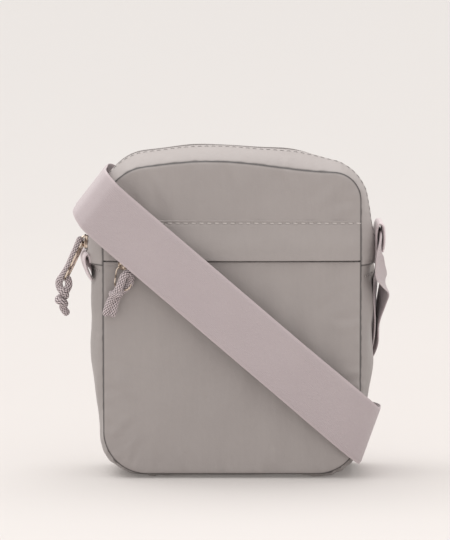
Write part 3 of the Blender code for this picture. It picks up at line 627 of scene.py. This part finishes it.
def panel_rise(x, z, crown, seed, folds):
    """How far the cloth stands out from the seam plane: turned in at the seam, then a low crown, with small
    puckers that run in from the stitching and die out, broad soft undulations, and a few creases."""
    near, along = from_seam(x, z)
    turned = 1.35 * MM * (1 - np.exp(-near / (0.9 * MM)))
    full = crown * (1 - np.exp(-near / (24 * MM)))
    pucker = 0.30 * MM * np.exp(-near / (9 * MM)) * ripples(along, near * 0.3, 10 * MM, seed)
    soft = 0.30 * MM * ease(near / (12 * MM)) * ripples(x * 1.7, z * 0.3, 26 * MM, seed + 1)
    creases = sum(fold(x, z, *one) for one in folds)
    return turned + full + (pucker + creases) * ease(near / (1.5 * MM)) + soft, near


def panel(name, bottom, top, columns, rows, plane, out, crown, seed, node, folds):
    """A panel: panel_grid set off its seam plane by panel_rise, with a second skin behind it."""
    x, z = panel_grid(bottom, top, columns, rows)
    rise, near = panel_rise(x, z, crown, seed, folds)
    outer = np.stack([x, plane + out * rise, z], axis=-1)
    inner = outer - np.array([0, out * CLOTH, 0])
    piece = wall(name, outer, inner, nylon, marks={"seam": near})
    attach(piece, "bag")
    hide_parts(node)


# Each crease: where it starts and ends (x, z), how wide and how high, in millimetres.
POCKET_FOLDS = [
    ((-80, 70), (-58, 50), 4.0, 0.5), ((80, 118), (52, 96), 5.0, 0.55), ((81, 96), (60, 100), 3.5, 0.4),
    ((72, 137), (58, 112), 3.5, 0.4), ((-81, 24), (-62, 44), 3.2, 0.5), ((-70, 8), (-60, 30), 3.0, 0.5),
    ((30, 3), (26, 22), 3.0, 0.4), ((-30, 3), (-34, 20), 3.0, 0.35), ((10, 70), (-20, 30), 8.0, 0.35),
]
YOKE_FOLDS = [
    ((-50, 198), (-40, 172), 3.2, 0.4), ((0, 204), (6, 178), 3.5, 0.35), ((34, 201), (40, 180), 3.0, 0.4),
    ((70, 193), (52, 172), 4.0, 0.5), ((81, 176), (62, 170), 3.4, 0.45), ((-20, 203), (-24, 186), 2.6, 0.3),
]
BACK_FOLDS = [((-70, 190), (-30, 120), 8.0, 0.8), ((70, 60), (20, 40), 7.0, 0.7), ((-60, 20), (-40, 60), 5.0, 0.6)]
POCKET_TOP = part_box("front_pocket_panel")[1][2]
YOKE_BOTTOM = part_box("front_yoke")[0][2]
panel("pocket_panel", seam_bottom, POCKET_TOP, 230, 170, FRONT_SEAM, -1, 0.3 * MM, 3, "front_pocket_panel",
      POCKET_FOLDS)
panel("yoke", YOKE_BOTTOM, seam_top, 230, 90, FRONT_SEAM, -1, 0.4 * MM, 5, "front_yoke", YOKE_FOLDS)
panel("back", seam_bottom, seam_top, 200, 200, BACK_SEAM, 1, 0.8 * MM, 7, "back_panel", BACK_FOLDS)

# ---------------------------------------------------------------------------------------------------------
# Front band. A doubled strip of the same nylon over the pocket zip: stitched down along its top, folded at
# its lip, and free to lift there.

BAND_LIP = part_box("front_band")[0][2]
BAND_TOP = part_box("front_band")[1][2]
STITCH_PITCH = 5.0 * MM
STITCH_INSET = 1.6 * MM         # how far below the band's top its stitches run


def band():
    """Rows run from the tucked end inside the lip, round its fold, up the face and over the top fold."""
    x = -HALF_WIDTH * np.cos(np.linspace(0, math.pi, 230)) * 0.9995
    fold = np.linspace(-math.pi / 2, math.pi / 2, 9)
    height = BAND_TOP - BAND_LIP
    face = np.linspace(1.6 * MM, height, 48)
    up = np.concatenate([[5 * MM, 3 * MM, 1.4 * MM], 0.55 * MM * (1 - np.cos(fold)), face])
    out = np.concatenate([[0, 0, 0], 0.5 * MM * (1 + np.sin(fold)), np.full(48, 1.0 * MM)])
    share = up / height
    sag = 0.35 * MM * np.sin(math.pi * (x / HALF_WIDTH * 0.5 + 0.5))
    z = BAND_LIP - sag[:, None] * (1 - share) + up[None] * (1 + sag[:, None] / height)
    xs = np.broadcast_to(x[:, None], z.shape)
    near, along = from_seam(xs, z)
    stand = 3.1 * MM - 1.75 * MM * ease((share - 0.25) / 0.7)
    stand = stand - 0.55 * MM * np.exp(-(((BAND_TOP - STITCH_INSET - z) / (0.8 * MM)) ** 2))
    rolled = np.where(share > 0.985, -0.7 * MM, 0.0)
    pull = 1 - np.exp(-near / (3.0 * MM))
    pucker = 0.12 * MM * np.exp(-near / (8 * MM)) * ripples(along, z, 8 * MM, 12)
    wave = 0.22 * MM * ripples(xs, z * 0.5, 30 * MM, 11) + pucker
    y = FRONT_SEAM - (stand + out[None] + rolled) * (0.3 + 0.7 * pull) - wave * pull
    outer = np.stack([xs, y, z], axis=-1)
    inner = outer.copy()
    inner[..., 1] += 0.45 * MM * np.where(out[None] > 0.5 * MM, 1, -0.2)
    inner[..., 2] = np.maximum(inner[..., 2], BAND_LIP + 0.45 * MM - sag[:, None])
    return outer, inner, near


band_outer, band_inner, band_near = band()
band_piece = wall("band", band_outer, band_inner, nylon, marks={"seam": band_near})
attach(band_piece, "bag")
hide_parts("front_band")


def thread_finish():
    """Pale polyester thread, with painted shade where each stitch dives into the cloth."""
    finish = Finish("polyester_thread", roughness=0.5, sheen_weight=0.2)
    twist = finish.noise(2400.0, 2.0, 0.5)
    tone = finish.mix(twist, (0.50, 0.46, 0.44), (0.66, 0.62, 0.60))
    # Painted shade at the stitch ends.
    finish.set("Base Color", finish.mix(finish.mark("dive"), tone, (0.06, 0.052, 0.05)))
    finish.bump(twist, 0.06 * MM, 0.6)
    return finish


thread = thread_finish()


def bars_along(line, fat, first, second):
    """Many small bars at once. Eight points run round each point of each line: the half-width there times the
    cosine of an angle along the first direction, and times its sine along the second."""
    angle = np.linspace(0, 2 * math.pi, 8, endpoint=False)
    ring = np.cos(angle)[:, None, None] * first[None] + np.sin(angle)[:, None, None] * second[None]
    points = line[:, :, None] + fat[None, :, None, None] * ring.transpose(1, 0, 2)[:, None]
    count, steps = line.shape[:2]
    faces = tube_faces(steps, 8)[None] + (np.arange(count) * steps * 8)[:, None, None]
    return points, faces.reshape(-1, 4)


def stitches(name, spots, along, outward, length, radius, end_shade_power=3.0):
    """A row of lockstitches: each is a short capsule, bent so that both ends dive into the cloth. Its line is
    a low arc of the given length along the seam, lifted by a cosine."""
    spots, along, outward = (np.asarray(part, float) for part in (spots, along, outward))
    t = np.linspace(-0.5, 0.5, 7)
    lift_up = radius * (1.5 * np.cos(math.pi * t) - 0.6)
    line = spots[:, None] + along[:, None] * (t * length)[None, :, None] + outward[:, None] * lift_up[None, :, None]
    fat = radius * np.sqrt(np.clip(1 - (2 * t) ** 4 * 0.9, 0.05, 1))
    points, faces = bars_along(line, fat, np.cross(along, outward), outward)
    # dive is painted shade at each stitch's ends, where they go down into the cloth.
    dive = np.broadcast_to((np.abs(2 * t) ** end_shade_power)[None, :, None], points.shape[:3])
    piece = put_mesh(name, points, faces, thread, marks={"dive": dive})
    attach(piece, "bag")


def surface_reader(grid):
    """A function that gives the y of a grid surface above any x and z, from its nearest point."""
    flat = grid.reshape(-1, 3)

    def read(x, z):
        return np.array([flat[np.argmin((flat[:, 0] - a) ** 2 + (flat[:, 2] - b) ** 2), 1] for a, b in zip(x, z)])

    return read


band_y = surface_reader(band_outer[:, 20:])
stitch_x = np.arange(-HALF_WIDTH + 3 * MM, HALF_WIDTH - 2 * MM, STITCH_PITCH)
stitch_z = np.full(len(stitch_x), BAND_TOP - STITCH_INSET)
spots = np.stack([stitch_x, band_y(stitch_x, stitch_z), stitch_z], axis=1)
stitches("band_stitches", spots, np.tile((1.0, 0, -0.05), (len(spots), 1)), np.tile((0, -1.0, 0), (len(spots), 1)),
         4.3 * MM, 0.40 * MM)

# ---------------------------------------------------------------------------------------------------------
# Gussets. One long strip runs from the right cross seam down round the base to the left one; two narrower
# strips run over the top, one each side of the main zip. They stand out of the seams and crease at the corners.

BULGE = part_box("side_bottom_gusset")[1][0] - HALF_WIDTH
BULGE_LOW = 3.0 * MM
CORNER_SHARE = 0.55
CORNER_HEIGHT = SEAM_TOP - 1.0 * MM
CORNER_SPREAD = 15.0 * MM
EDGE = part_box("side_bottom_gusset")[1][1]
ZIP_HALF = -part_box("zip_gusset_front")[1][1]


def gusset_out(x, z, y, along):
    """How far the gusset stands out at a place: a rounded section, lower round the base and at the two top
    corners, crested beside the zip, turned in sharply at both seams, with creases that run in from the seams
    and are deepest round the bottom corners."""
    v = np.abs(y) / EDGE
    height = BULGE_LOW + (BULGE - BULGE_LOW) * ease((z - 28 * MM) / (48 * MM))
    right = x > 0
    above = z - CORNER_HEIGHT + 5 * MM * right
    from_corner = np.hypot(np.abs(x) - HALF_WIDTH, above) / (CORNER_SPREAD + 11 * MM * right)
    corner_share = np.exp(-from_corner**2)
    height = height * (1 - (1 - CORNER_SHARE + 0.12 * right) * corner_share)
    shoulder = ease((z - 134.5 * MM) / (3.5 * MM)) * (1 - ease((z - 150 * MM) / (16 * MM)))
    height = height + 2.0 * MM * shoulder
    height = height + 2.2 * MM * hump(z, 10 * MM, 11 * MM) * ease((np.abs(x) - 44 * MM) / (14 * MM))
    behind = right * ease((y - 2 * MM) / (8 * MM)) * hump(z, 126 * MM, 12 * MM)
    height = height + 1.6 * MM * behind
    height = height + 2.2 * MM * hump(x, 40 * MM, 20 * MM) * (z > CORNER_HEIGHT)
    dent = 1.3 * MM * np.exp(-(((z - CROSS_SEAM + 7 * MM) / (8 * MM)) ** 2)) * ease((8 * MM - y) / (12 * MM))
    shape = (height - dent) * (1 - v**2.8)
    upper = ease((z - CROSS_SEAM) / (40 * MM))
    crest = 0.7 * MM * hump(np.abs(y), 10.5 * MM, 4.5 * MM) * upper
    slope = 0.14 + 0.18 * corner_share * right
    crest = crest - slope * np.clip(y + 9 * MM, 0, 24 * MM) * upper * (1 - v**6)
    near = EDGE - np.abs(y)
    corner = hump(z, 9 * MM, 15 * MM) * ease((np.abs(x) - 38 * MM) / (16 * MM))
    side = np.sign(y + 1e-9) * 0.03
    fine = ripples(along, side + near * 0.25, 7 * MM, 21)
    crease = (0.22 * MM + 0.95 * MM * corner) * np.exp(-near / (10 * MM)) * fine
    pleat = -1.5 * MM * corner * np.exp(-near / (14 * MM)) * ease((ripples(along, side, 11 * MM, 29) - 0.15) / 0.5)
    soft = (0.55 - 0.3 * upper) * MM * ripples(along, y * 1.2, 30 * MM, 23) * ease(near / (8 * MM))
    tuck = -0.9 * MM * np.exp(-near / (0.7 * MM))
    return shape + crest + tuck + (crease + pleat) * ease(near / (1.2 * MM)) + soft, near


def gusset_sheet(first, last, ys, depth=0.0):
    """A grid between two places along the seam loop and over the given y values."""
    pick = np.arange(first, last + 1) % (len(loop_points) - 1)
    points, normals, along = loop_points[pick], loop_normals[pick], loop_lengths[pick]
    x, z = points[:, :1], points[:, 1:]
    out, near = gusset_out(x + 0 * ys, z + 0 * ys, ys[None], along[:, None] + 0 * ys)
    out = out - depth
    grid = np.stack([x + normals[:, :1] * out, np.broadcast_to(ys, out.shape), z + normals[:, 1:] * out], axis=-1)
    grid[..., 2] = np.maximum(lift(grid[..., 0], grid[..., 2]), depth)
    return grid, near


over_end = int(np.argmin(np.hypot(loop_points[:360, 0] - HALF_WIDTH, loop_points[:360, 1] - CROSS_SEAM)))
under_end = len(loop_points) - 1


def gusset(name, first, last, ys, node, finish):
    """A gusset: gusset_sheet as its outer skin and the same sheet, deeper by the cloth, as its inner one."""
    outer, near = gusset_sheet(first, last, ys)
    inner, _ = gusset_sheet(first, last, ys, CLOTH)
    order = np.arange(len(outer))
    ends = np.minimum(order, order[::-1])[:, None] * (loop_lengths[1] - loop_lengths[0])
    # The seam mark also carries the painted seam shade to the strip's ends.
    piece = wall(name, outer, inner, finish, marks={"seam": np.minimum(near, ends + 0.3 * MM)})
    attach(piece, "bag")
    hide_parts(node)


across = EDGE * np.sin(np.linspace(-math.pi / 2, math.pi / 2, 64))
# The side and base gusset takes the darker copy of the nylon, as painted shade.
gusset("base_and_side_gusset", over_end, under_end, across, "side_bottom_gusset", shaded_side_nylon)
strip = np.linspace(0, 1, 34)
strip = 0.5 * strip + 0.5 * (0.5 - 0.5 * np.cos(math.pi * strip))
front_strip = -EDGE + (EDGE - ZIP_HALF) * strip
gusset("top_gusset_front", 0, over_end, front_strip, "zip_gusset_front", nylon)
gusset("top_gusset_back", 0, over_end, -front_strip[::-1], "zip_gusset_back", nylon)


def along_loop(first, last, y, pitch, inset):
    """Places for a row of stitches along the gusset at one y: points, directions and outward normals."""
    grid, _ = gusset_sheet(first, last, np.array([y - 0.2 * MM, y + 0.2 * MM]))
    line = grid.mean(axis=1)
    lengths = lengths_along(line)
    wanted = np.arange(inset, lengths[-1] - inset, pitch)
    read = read_at(wanted, lengths, line)
    ahead = read_at(wanted + 1 * MM, lengths, line)
    forward = unit(ahead - read)
    return read, forward, unit(np.cross(forward, (0, -1.0, 0)))


ZIP_STITCH_INSET = 6.3 * MM     # from a top strip's edge at the zip
for name, y in (("front", -ZIP_HALF - ZIP_STITCH_INSET), ("back", ZIP_HALF + ZIP_STITCH_INSET)):
    stitches("zip_stitches_" + name, *along_loop(0, over_end, y, 4.4 * MM, 3 * MM), 4.2 * MM, 0.40 * MM, 0.9)
for name, start, sign in (("left", under_end, -1), ("right", over_end, 1)):
    first, last = (start - 9, start + 1) if sign < 0 else (start + 7, start + 9)
    row, _ = gusset_sheet(first, last, np.linspace(-25 * MM, 25 * MM, 13))
    line = row[len(row) // 2]
    stitches("cross_stitches_" + name, line, np.tile((0, 1.0, 0), (13, 1)), np.tile((sign * 1.0, 0, 0), (13, 1)),
             3.4 * MM, 0.34 * MM)

# ---------------------------------------------------------------------------------------------------------
# Main zip. A nylon coil zip, dyed to match: a woven tape under each top strip and a row of coil on each tape,
# meshed all along the closed zip.


def tape_finish():
    """Woven zip tape in dark grey, its rows running along it."""
    finish = Finish("zip_tape", roughness=0.75, sheen_weight=0.15)
    weave = finish.noise(1400.0, 1.0, 0.5)
    stretched = finish.node("Mapping", {}, {"Vector": finish.place(), "Scale": (1.0, 6.0, 1.0)}).out()
    rows = finish.noise(260.0, 1.0, 0.4, stretched)
    finish.set("Base Color", finish.mix(rows, (0.27, 0.245, 0.238), (0.345, 0.315, 0.305)))
    finish.bump(rows * 0.6 + weave * 0.5, 0.12 * MM, 0.8)
    return finish


def coil_finish():
    """Moulded nylon coil, dyed to match and a little shiny."""
    finish = Finish("zip_coil", roughness=0.42)
    fleck = finish.noise(700.0, 2.0, 0.5)
    finish.set("Base Color", finish.mix(fleck, (0.26, 0.235, 0.23), (0.36, 0.33, 0.32)))
    finish.set("Roughness", 0.36 + fleck * 0.16)
    finish.bump(fleck, 0.05 * MM, 0.4)
    return finish


tape = tape_finish()
coil = coil_finish()
TAPE_DEPTH = 1.6 * MM            # below the gusset's skin
TAPE_THICKNESS = 0.5 * MM
TAPE_EDGE = 12.4 * MM            # its outer edge, from the zip's middle
for name, side in (("front", -1), ("back", 1)):
    ys = side * np.linspace(0.3 * MM, TAPE_EDGE, 10)
    outer, _ = gusset_sheet(0, over_end, ys, TAPE_DEPTH)
    inner, _ = gusset_sheet(0, over_end, ys, TAPE_DEPTH + TAPE_THICKNESS)
    piece = wall("zip_tape_" + name, outer, inner, tape)
    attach(piece, "bag")
    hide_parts("main_zip_tape_" + name)


def coil_row(name, spots, forward, outward, side, finish):
    """A row of coil seen as its turns: each is a rounded bar across the tape, flattened at its outer end and
    broadened into a head at the middle of the zip. Its height over the tape is a sine to the power 0.7."""
    t = np.linspace(0, 1, 7)
    reach = 3.1 * MM * t - 0.55 * MM
    high = 0.62 * MM * np.sin(math.pi * (0.12 + 0.76 * t)) ** 0.7
    fat = np.array([0.30, 0.50, 0.46, 0.44, 0.44, 0.42, 0.24]) * MM
    across = np.cross(forward, outward) * side
    line = spots[:, None] + across[:, None] * reach[None, :, None] + outward[:, None] * high[None, :, None]
    points, faces = bars_along(line, fat, forward, 1.25 * outward)
    piece = put_mesh(name, points, faces, finish)
    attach(piece, "bag")
    return piece


COIL_PITCH = 1.35 * MM
for name, side in (("front", 1), ("back", -1)):
    spots, forward, outward = along_loop(0, over_end, 0.0, COIL_PITCH, 1 * MM + (0 if side > 0 else COIL_PITCH / 2))
    spots = spots - outward * 1.5 * MM
    piece = coil_row("zip_coil_" + name, spots, forward, outward, side, coil)
    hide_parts("main_zip_coil_" + name)

# ---------------------------------------------------------------------------------------------------------
# Main slider and its frame. Zinc alloy plated in pale gold, polished, with a little grain from handling: a coil
# slider with a bail, and a long wire frame hung from it.


def plated_finish():
    """Pale gold plating with darker patches, as polished metal mirrors a room."""
    finish = Finish("pale_gold_plating", roughness=0.24, metallic=1.0)
    grain = finish.noise(240.0, 4.0, 0.6)
    mirrored = finish.ramp(finish.noise(330.0, 1.0, 0.4), (0.40, 0.0), (0.56, 1.0))
    bright = finish.mix(grain, (0.84, 0.72, 0.60), (0.72, 0.60, 0.50))
    finish.set("Base Color", finish.mix(mirrored, (0.22, 0.165, 0.13), bright))
    finish.set("Roughness", 0.16 + grain * 0.2)
    finish.bump(grain, 0.03 * MM, 0.4)
    return finish


plated = plated_finish()


def slab(outline, low_face, high_face, bevel, place):
    """A flat plate with softened edges: its outline drawn in at both faces, as rings of a capped tube."""
    centre = outline.mean(axis=0)
    drawn = centre + (outline - centre) * (1 - bevel / np.abs(outline - centre).max())
    rings = [(drawn, low_face), (outline, low_face + bevel), (outline, high_face - bevel), (drawn, high_face)]
    points = np.stack([place(np.column_stack([line, np.full(len(line), z)])) for line, z in rings])
    return points.reshape(-1, 3), tube_faces(4, len(outline))


def bar(path, radius, around=12, flat=1.0, closed=False):
    """A round or flattened bar along a path, in the plane that the path lies in."""
    path = np.asarray(path, float)
    ahead = np.roll(path, -1, 0) - np.roll(path, 1, 0) if closed else np.gradient(path, axis=0)
    tangent = unit(ahead)
    spread = np.linalg.svd(path - path.mean(axis=0))[2][2]
    side = unit(np.cross(tangent, spread))
    angle = np.linspace(0, 2 * math.pi, around, endpoint=False)
    points = path[:, None] + radius * (
        np.cos(angle)[None, :, None] * side[:, None] + flat * np.sin(angle)[None, :, None] * spread
    )
    rows = len(path)
    if not closed:
        return points.reshape(-1, 3), tube_faces(rows, around)
    index = np.arange(rows * around).reshape(rows, around)
    index = np.vstack([index, index[:1]])
    return points.reshape(-1, 3), grid_faces(np.hstack([index, index[:, :1]]))


def gather(name, shapes, finish, sharp=40):
    """Several shapes, each closed, as the solids of one piece."""
    points = []
    faces = []
    start = 0
    for shape_points, shape_faces in shapes:
        tri = shape_faces
        a, b, c, d = (shape_points[tri[:, k]] for k in range(4))
        volume = np.einsum("ij,ij->i", a, np.cross(b, c)) + np.einsum("ij,ij->i", a, np.cross(c, d))
        tri = tri[:, ::-1] if volume.sum() < 0 else tri
        points.append(shape_points)
        faces.append(tri + start)
        start += len(shape_points)
    return put_mesh(name, np.concatenate(points), np.concatenate(faces), finish, sharp=sharp)


def slider_shapes(place, tongue):
    """A coil-zip slider: a waisted upper plate, a plain lower plate, side flanges and the post between them.
    along, across and out are measured from the tape's middle, and place turns them into the frame."""
    t = np.linspace(0, 2 * math.pi, 36, endpoint=False)
    length, width = 4.75 * MM, 3.75 * MM
    square = 0.55
    along = length * np.sign(np.cos(t)) * np.abs(np.cos(t)) ** square
    across = width * np.sign(np.sin(t)) * np.abs(np.sin(t)) ** square
    across = across * (0.86 + 0.14 * np.cos(2.2 * along / length) ** 2 + 0.05 * along / length)
    plate = np.stack([along, across], axis=1)
    shapes = [
        slab(plate, 1.3 * MM, 2.7 * MM, 0.35 * MM, place),
        slab(plate * 0.97, -2.6 * MM, -1.75 * MM, 0.25 * MM, place),
        slab(plate * (0.24, 0.10), -2.0 * MM, 1.6 * MM, 0.1 * MM, place),
    ]
    for side in (-1, 1):
        rail = np.stack([np.linspace(-0.8, 0.8, 7) * length, np.full(7, side * 0.93 * width)], axis=1)
        rail = np.vstack([rail, rail[::-1] - (0, side * 0.5 * MM)])
        shapes.append(slab(rail, 0.55 * MM, 1.7 * MM, 0.12 * MM, place))
    if tongue:
        shapes.append(slab(plate * (0.95, 0.95) - (0, 5.3 * MM), 1.5 * MM, 2.3 * MM, 0.2 * MM, place))
    return shapes


TRACK_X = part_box("zip_gusset_front")[0][0]
slider_low, slider_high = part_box("main_zip_slider")
MAIN_AT = (TRACK_X, 0.0, (slider_low[2] + slider_high[2]) / 2)
SLIDER_STAND = 1.9 * MM        # how far the slider sits outside the CAD's track
PULL_STAND = 1.6 * MM          # how far the puller is drawn outside its hinge axis


def on_main_track(spots):
    """along is up, across is front to back, out is away from the bag's left side."""
    return np.stack([MAIN_AT[0] - spots[:, 2] - SLIDER_STAND, spots[:, 1], MAIN_AT[2] + spots[:, 0]], axis=1)


arch = np.linspace(0, math.pi, 15)
main_shapes = slider_shapes(on_main_track, False)
bail_line = np.stack([-3.4 * MM * np.cos(arch), 0 * arch, 2.2 * MM + 2.7 * MM * np.sin(arch) ** 0.8], axis=1)
main_shapes.append(bar(on_main_track(bail_line), 0.7 * MM, flat=1.9))
main_slider = gather("main_slider_body", main_shapes, plated)
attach(main_slider, "main_slider")
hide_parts("main_zip_slider")

pull_joint = {joint["name"]: joint for joint in frame["joints"]}
pivot = np.array(pull_joint["main_pull_swing"]["pos_m"]) - (PULL_STAND, 0, 0)
lean = math.radians(26)
down = np.array([-math.sin(lean), 0, -math.cos(lean)])


def wire_loop(top, down, across, half, length, corner, steps):
    """A rounded rectangle hanging from its top bar, as a closed line."""
    quarter = np.repeat(np.arange(4), steps)
    angle = np.radians(-90 + 90 * (quarter + np.tile(np.linspace(0, 1, steps), 4)))
    side = np.where((quarter == 0) | (quarter == 1), half - corner, corner - half) + corner * np.cos(angle)
    drop = np.where((quarter == 1) | (quarter == 2), length - corner, corner) + corner * np.sin(angle)
    return top + side[:, None] * across + drop[:, None] * down


PULLER_HALF, PULLER_LENGTH, PULLER_CORNER, PULLER_WIRE = 3.3 * MM, 26.5 * MM, 1.8 * MM, 0.7 * MM
puller_across = np.array([0.24, 0.96, 0])       # turned 14 degrees, so that the loop shows from the front
puller_line = wire_loop(pivot, down, puller_across, PULLER_HALF, PULLER_LENGTH, PULLER_CORNER, 7)
main_frame = gather("main_puller_frame", [bar(puller_line, PULLER_WIRE, closed=True)], plated)
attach(main_frame, "main_pull")
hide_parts("main_zip_puller")

# ---------------------------------------------------------------------------------------------------------
# Pocket zip. The same coil zip, straight across under the band, with its slider at the left end and a thin
# gold ring hanging below the lip.

POCKET_ZIP = (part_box("pocket_zip_coil_lower")[0][2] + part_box("pocket_zip_coil_upper")[1][2]) / 2
POCKET_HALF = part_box("pocket_zip_coil_lower")[1][0]
count = int(2 * POCKET_HALF / COIL_PITCH)
for name, side in (("upper", -1), ("lower", 1)):
    x = -POCKET_HALF + COIL_PITCH * (np.arange(count) + (0.25 if side > 0 else 0.75))
    spots = np.stack([x, np.full(count, FRONT_SEAM - 0.2 * MM), np.full(count, POCKET_ZIP)], axis=1)
    forward = np.tile((1.0, 0, 0), (count, 1))
    piece = coil_row("pocket_coil_" + name, spots, forward, np.tile((0, -1.0, 0), (count, 1)), side, coil)
    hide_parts("pocket_zip_coil_" + name)

pocket_low, pocket_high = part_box("pocket_zip_slider")
POCKET_X = (pocket_low[0] + pocket_high[0]) / 2


def on_pocket_track(spots):
    """along is to the right, across is up, out is forwards."""
    return np.stack([POCKET_X + spots[:, 0], FRONT_SEAM - spots[:, 2], POCKET_ZIP + spots[:, 1]], axis=1)


pocket_shapes = slider_shapes(on_pocket_track, True)
bail_rise = 2.0 * MM + 3.0 * MM * np.sin(arch) ** 0.8
bail_line = np.stack([0 * arch, -5.7 * MM - 1.6 * MM * np.cos(arch), bail_rise], axis=1)
pocket_shapes.append(bar(on_pocket_track(bail_line), 0.5 * MM, flat=1.6))
pocket_slider = gather("pocket_slider_body", pocket_shapes, plated)
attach(pocket_slider, "pocket_slider")
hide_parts("pocket_zip_slider")
ring_pivot = np.array(pull_joint["pocket_pull_lift"]["pos_m"])
ring_down = unit(np.array([-0.12, -0.22, -0.98]))
ring_across = unit(np.cross(ring_down, (0, -1.0, 0)))
RING_HALF, RING_LENGTH, RING_CORNER, RING_WIRE = 5.2 * MM, 15.6 * MM, 4.6 * MM, 0.52 * MM
ring_line = wire_loop(ring_pivot, ring_down, ring_across, RING_HALF, RING_LENGTH, RING_CORNER, 10)
ring = gather("pocket_ring_wire", [bar(ring_line, RING_WIRE, closed=True)], plated)
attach(ring, "pocket_pull")
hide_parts("pocket_zip_ring")

# ---------------------------------------------------------------------------------------------------------
# Side tabs and adjuster. Each tab is a folded loop of the strap's webbing, sewn into the cross seam. The
# adjuster is a plated three-bar slide behind the bag.

# The tabs' webbing: the strap's webbing made half as light again, as painted light on the tabs.
painted_light_tab_webbing = webbing_finish("lilac_tab_webbing_painted_light", 1.5)


def tab(name, profile, lean, node):
    """A loop of webbing: its line, seen from the front, carried front to back; lean sets the front edge in."""
    line = smooth_path(np.array([(x, 0, z) for x, z in profile]) * MM, 90)
    rows = np.hstack([line, np.tile((lean, TAB_HALF, 0), (len(line), 1))])
    piece = ribbon(name, rows, webbing_section(21, 1.25 * STRAP_HALF_THICKNESS), painted_light_tab_webbing)
    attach(piece, "bag")
    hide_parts(node)


TAB_HALF = 18.0 * MM
RIGHT_TAB = [(92.2, 137.2), (92.7, 144), (92.8, 151), (92.9, 157), (93.9, 161.6), (95.6, 162.6), (97.3, 160.6),
             (97.8, 155), (97.6, 149), (96.6, 144.4)]
LEFT_TAB = [(-92.4, 137.6), (-93.2, 141.2), (-94.9, 142.8), (-96.3, 140.4), (-95.5, 135.6), (-93.8, 130.8),
            (-91.8, 126.4)]
tab("right_tab_loop", RIGHT_TAB, 0.0, "right_tab")
tab("left_tab_loop", LEFT_TAB, -2.0 * MM, "left_tab")

ADJUSTER = np.array([57.4, 42.2, 83.6]) * MM
turned = math.radians(17.5)
along_strap = np.array([-math.cos(turned), 0, math.sin(turned)])
across_strap = np.array([math.sin(turned), 0, math.cos(turned)])
back = np.array([0, 1.0, 0])
SLIDE_HALF, SLIDE_LENGTH, SLIDE_WIRE = 21.2 * MM, 16 * MM, 1.1 * MM
rail_top = ADJUSTER + back * 2.0 * MM - along_strap * SLIDE_LENGTH / 2
rail = wire_loop(rail_top, along_strap, across_strap, SLIDE_HALF, SLIDE_LENGTH, 3 * MM, 8)
bow = 1 - np.abs((rail - ADJUSTER) @ along_strap) / (SLIDE_LENGTH / 2)
rail = rail - back * (np.clip(bow, 0, 1) * 3.6 * MM)[:, None]
middle = ADJUSTER - back * 1.9 * MM + across_strap * (np.linspace(-21, 21, 12) * MM)[:, None]
adjuster_shapes = [bar(rail, SLIDE_WIRE, closed=True), bar(middle, SLIDE_WIRE)]
adjuster = gather("adjuster_slide", adjuster_shapes, plated)
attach(adjuster, "bag")
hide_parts("strap_adjuster")

# ---------------------------------------------------------------------------------------------------------
# Lining, bindings and pocket tapes, kept as the CAD has them. Plain woven polyester inside the bag, a folded
# tape over the seam edges, and the tapes of the pocket zip.


def lining_finish():
    """Plain woven grey lining."""
    finish = Finish("lining_cloth", roughness=0.7)
    weave = finish.noise(1200.0, 1.0, 0.5)
    cloud = finish.noise(30.0, 2.0, 0.5)
    finish.set("Base Color", finish.mix(cloud, (0.27, 0.25, 0.245), (0.33, 0.305, 0.298)))
    finish.bump(weave, 0.08 * MM, 0.6)
    return finish


lining = lining_finish()
for name in ("pocket_lining", "lining_front", "lining_back", "lining_gusset", "lining_top_front", "lining_top_back"):
    frame["nodes"][name].material_slots[0].material = lining.material
for name in ("front_seam_binding", "back_seam_binding", "pocket_zip_tape_upper", "pocket_zip_tape_lower"):
    frame["nodes"][name].material_slots[0].material = tape.material
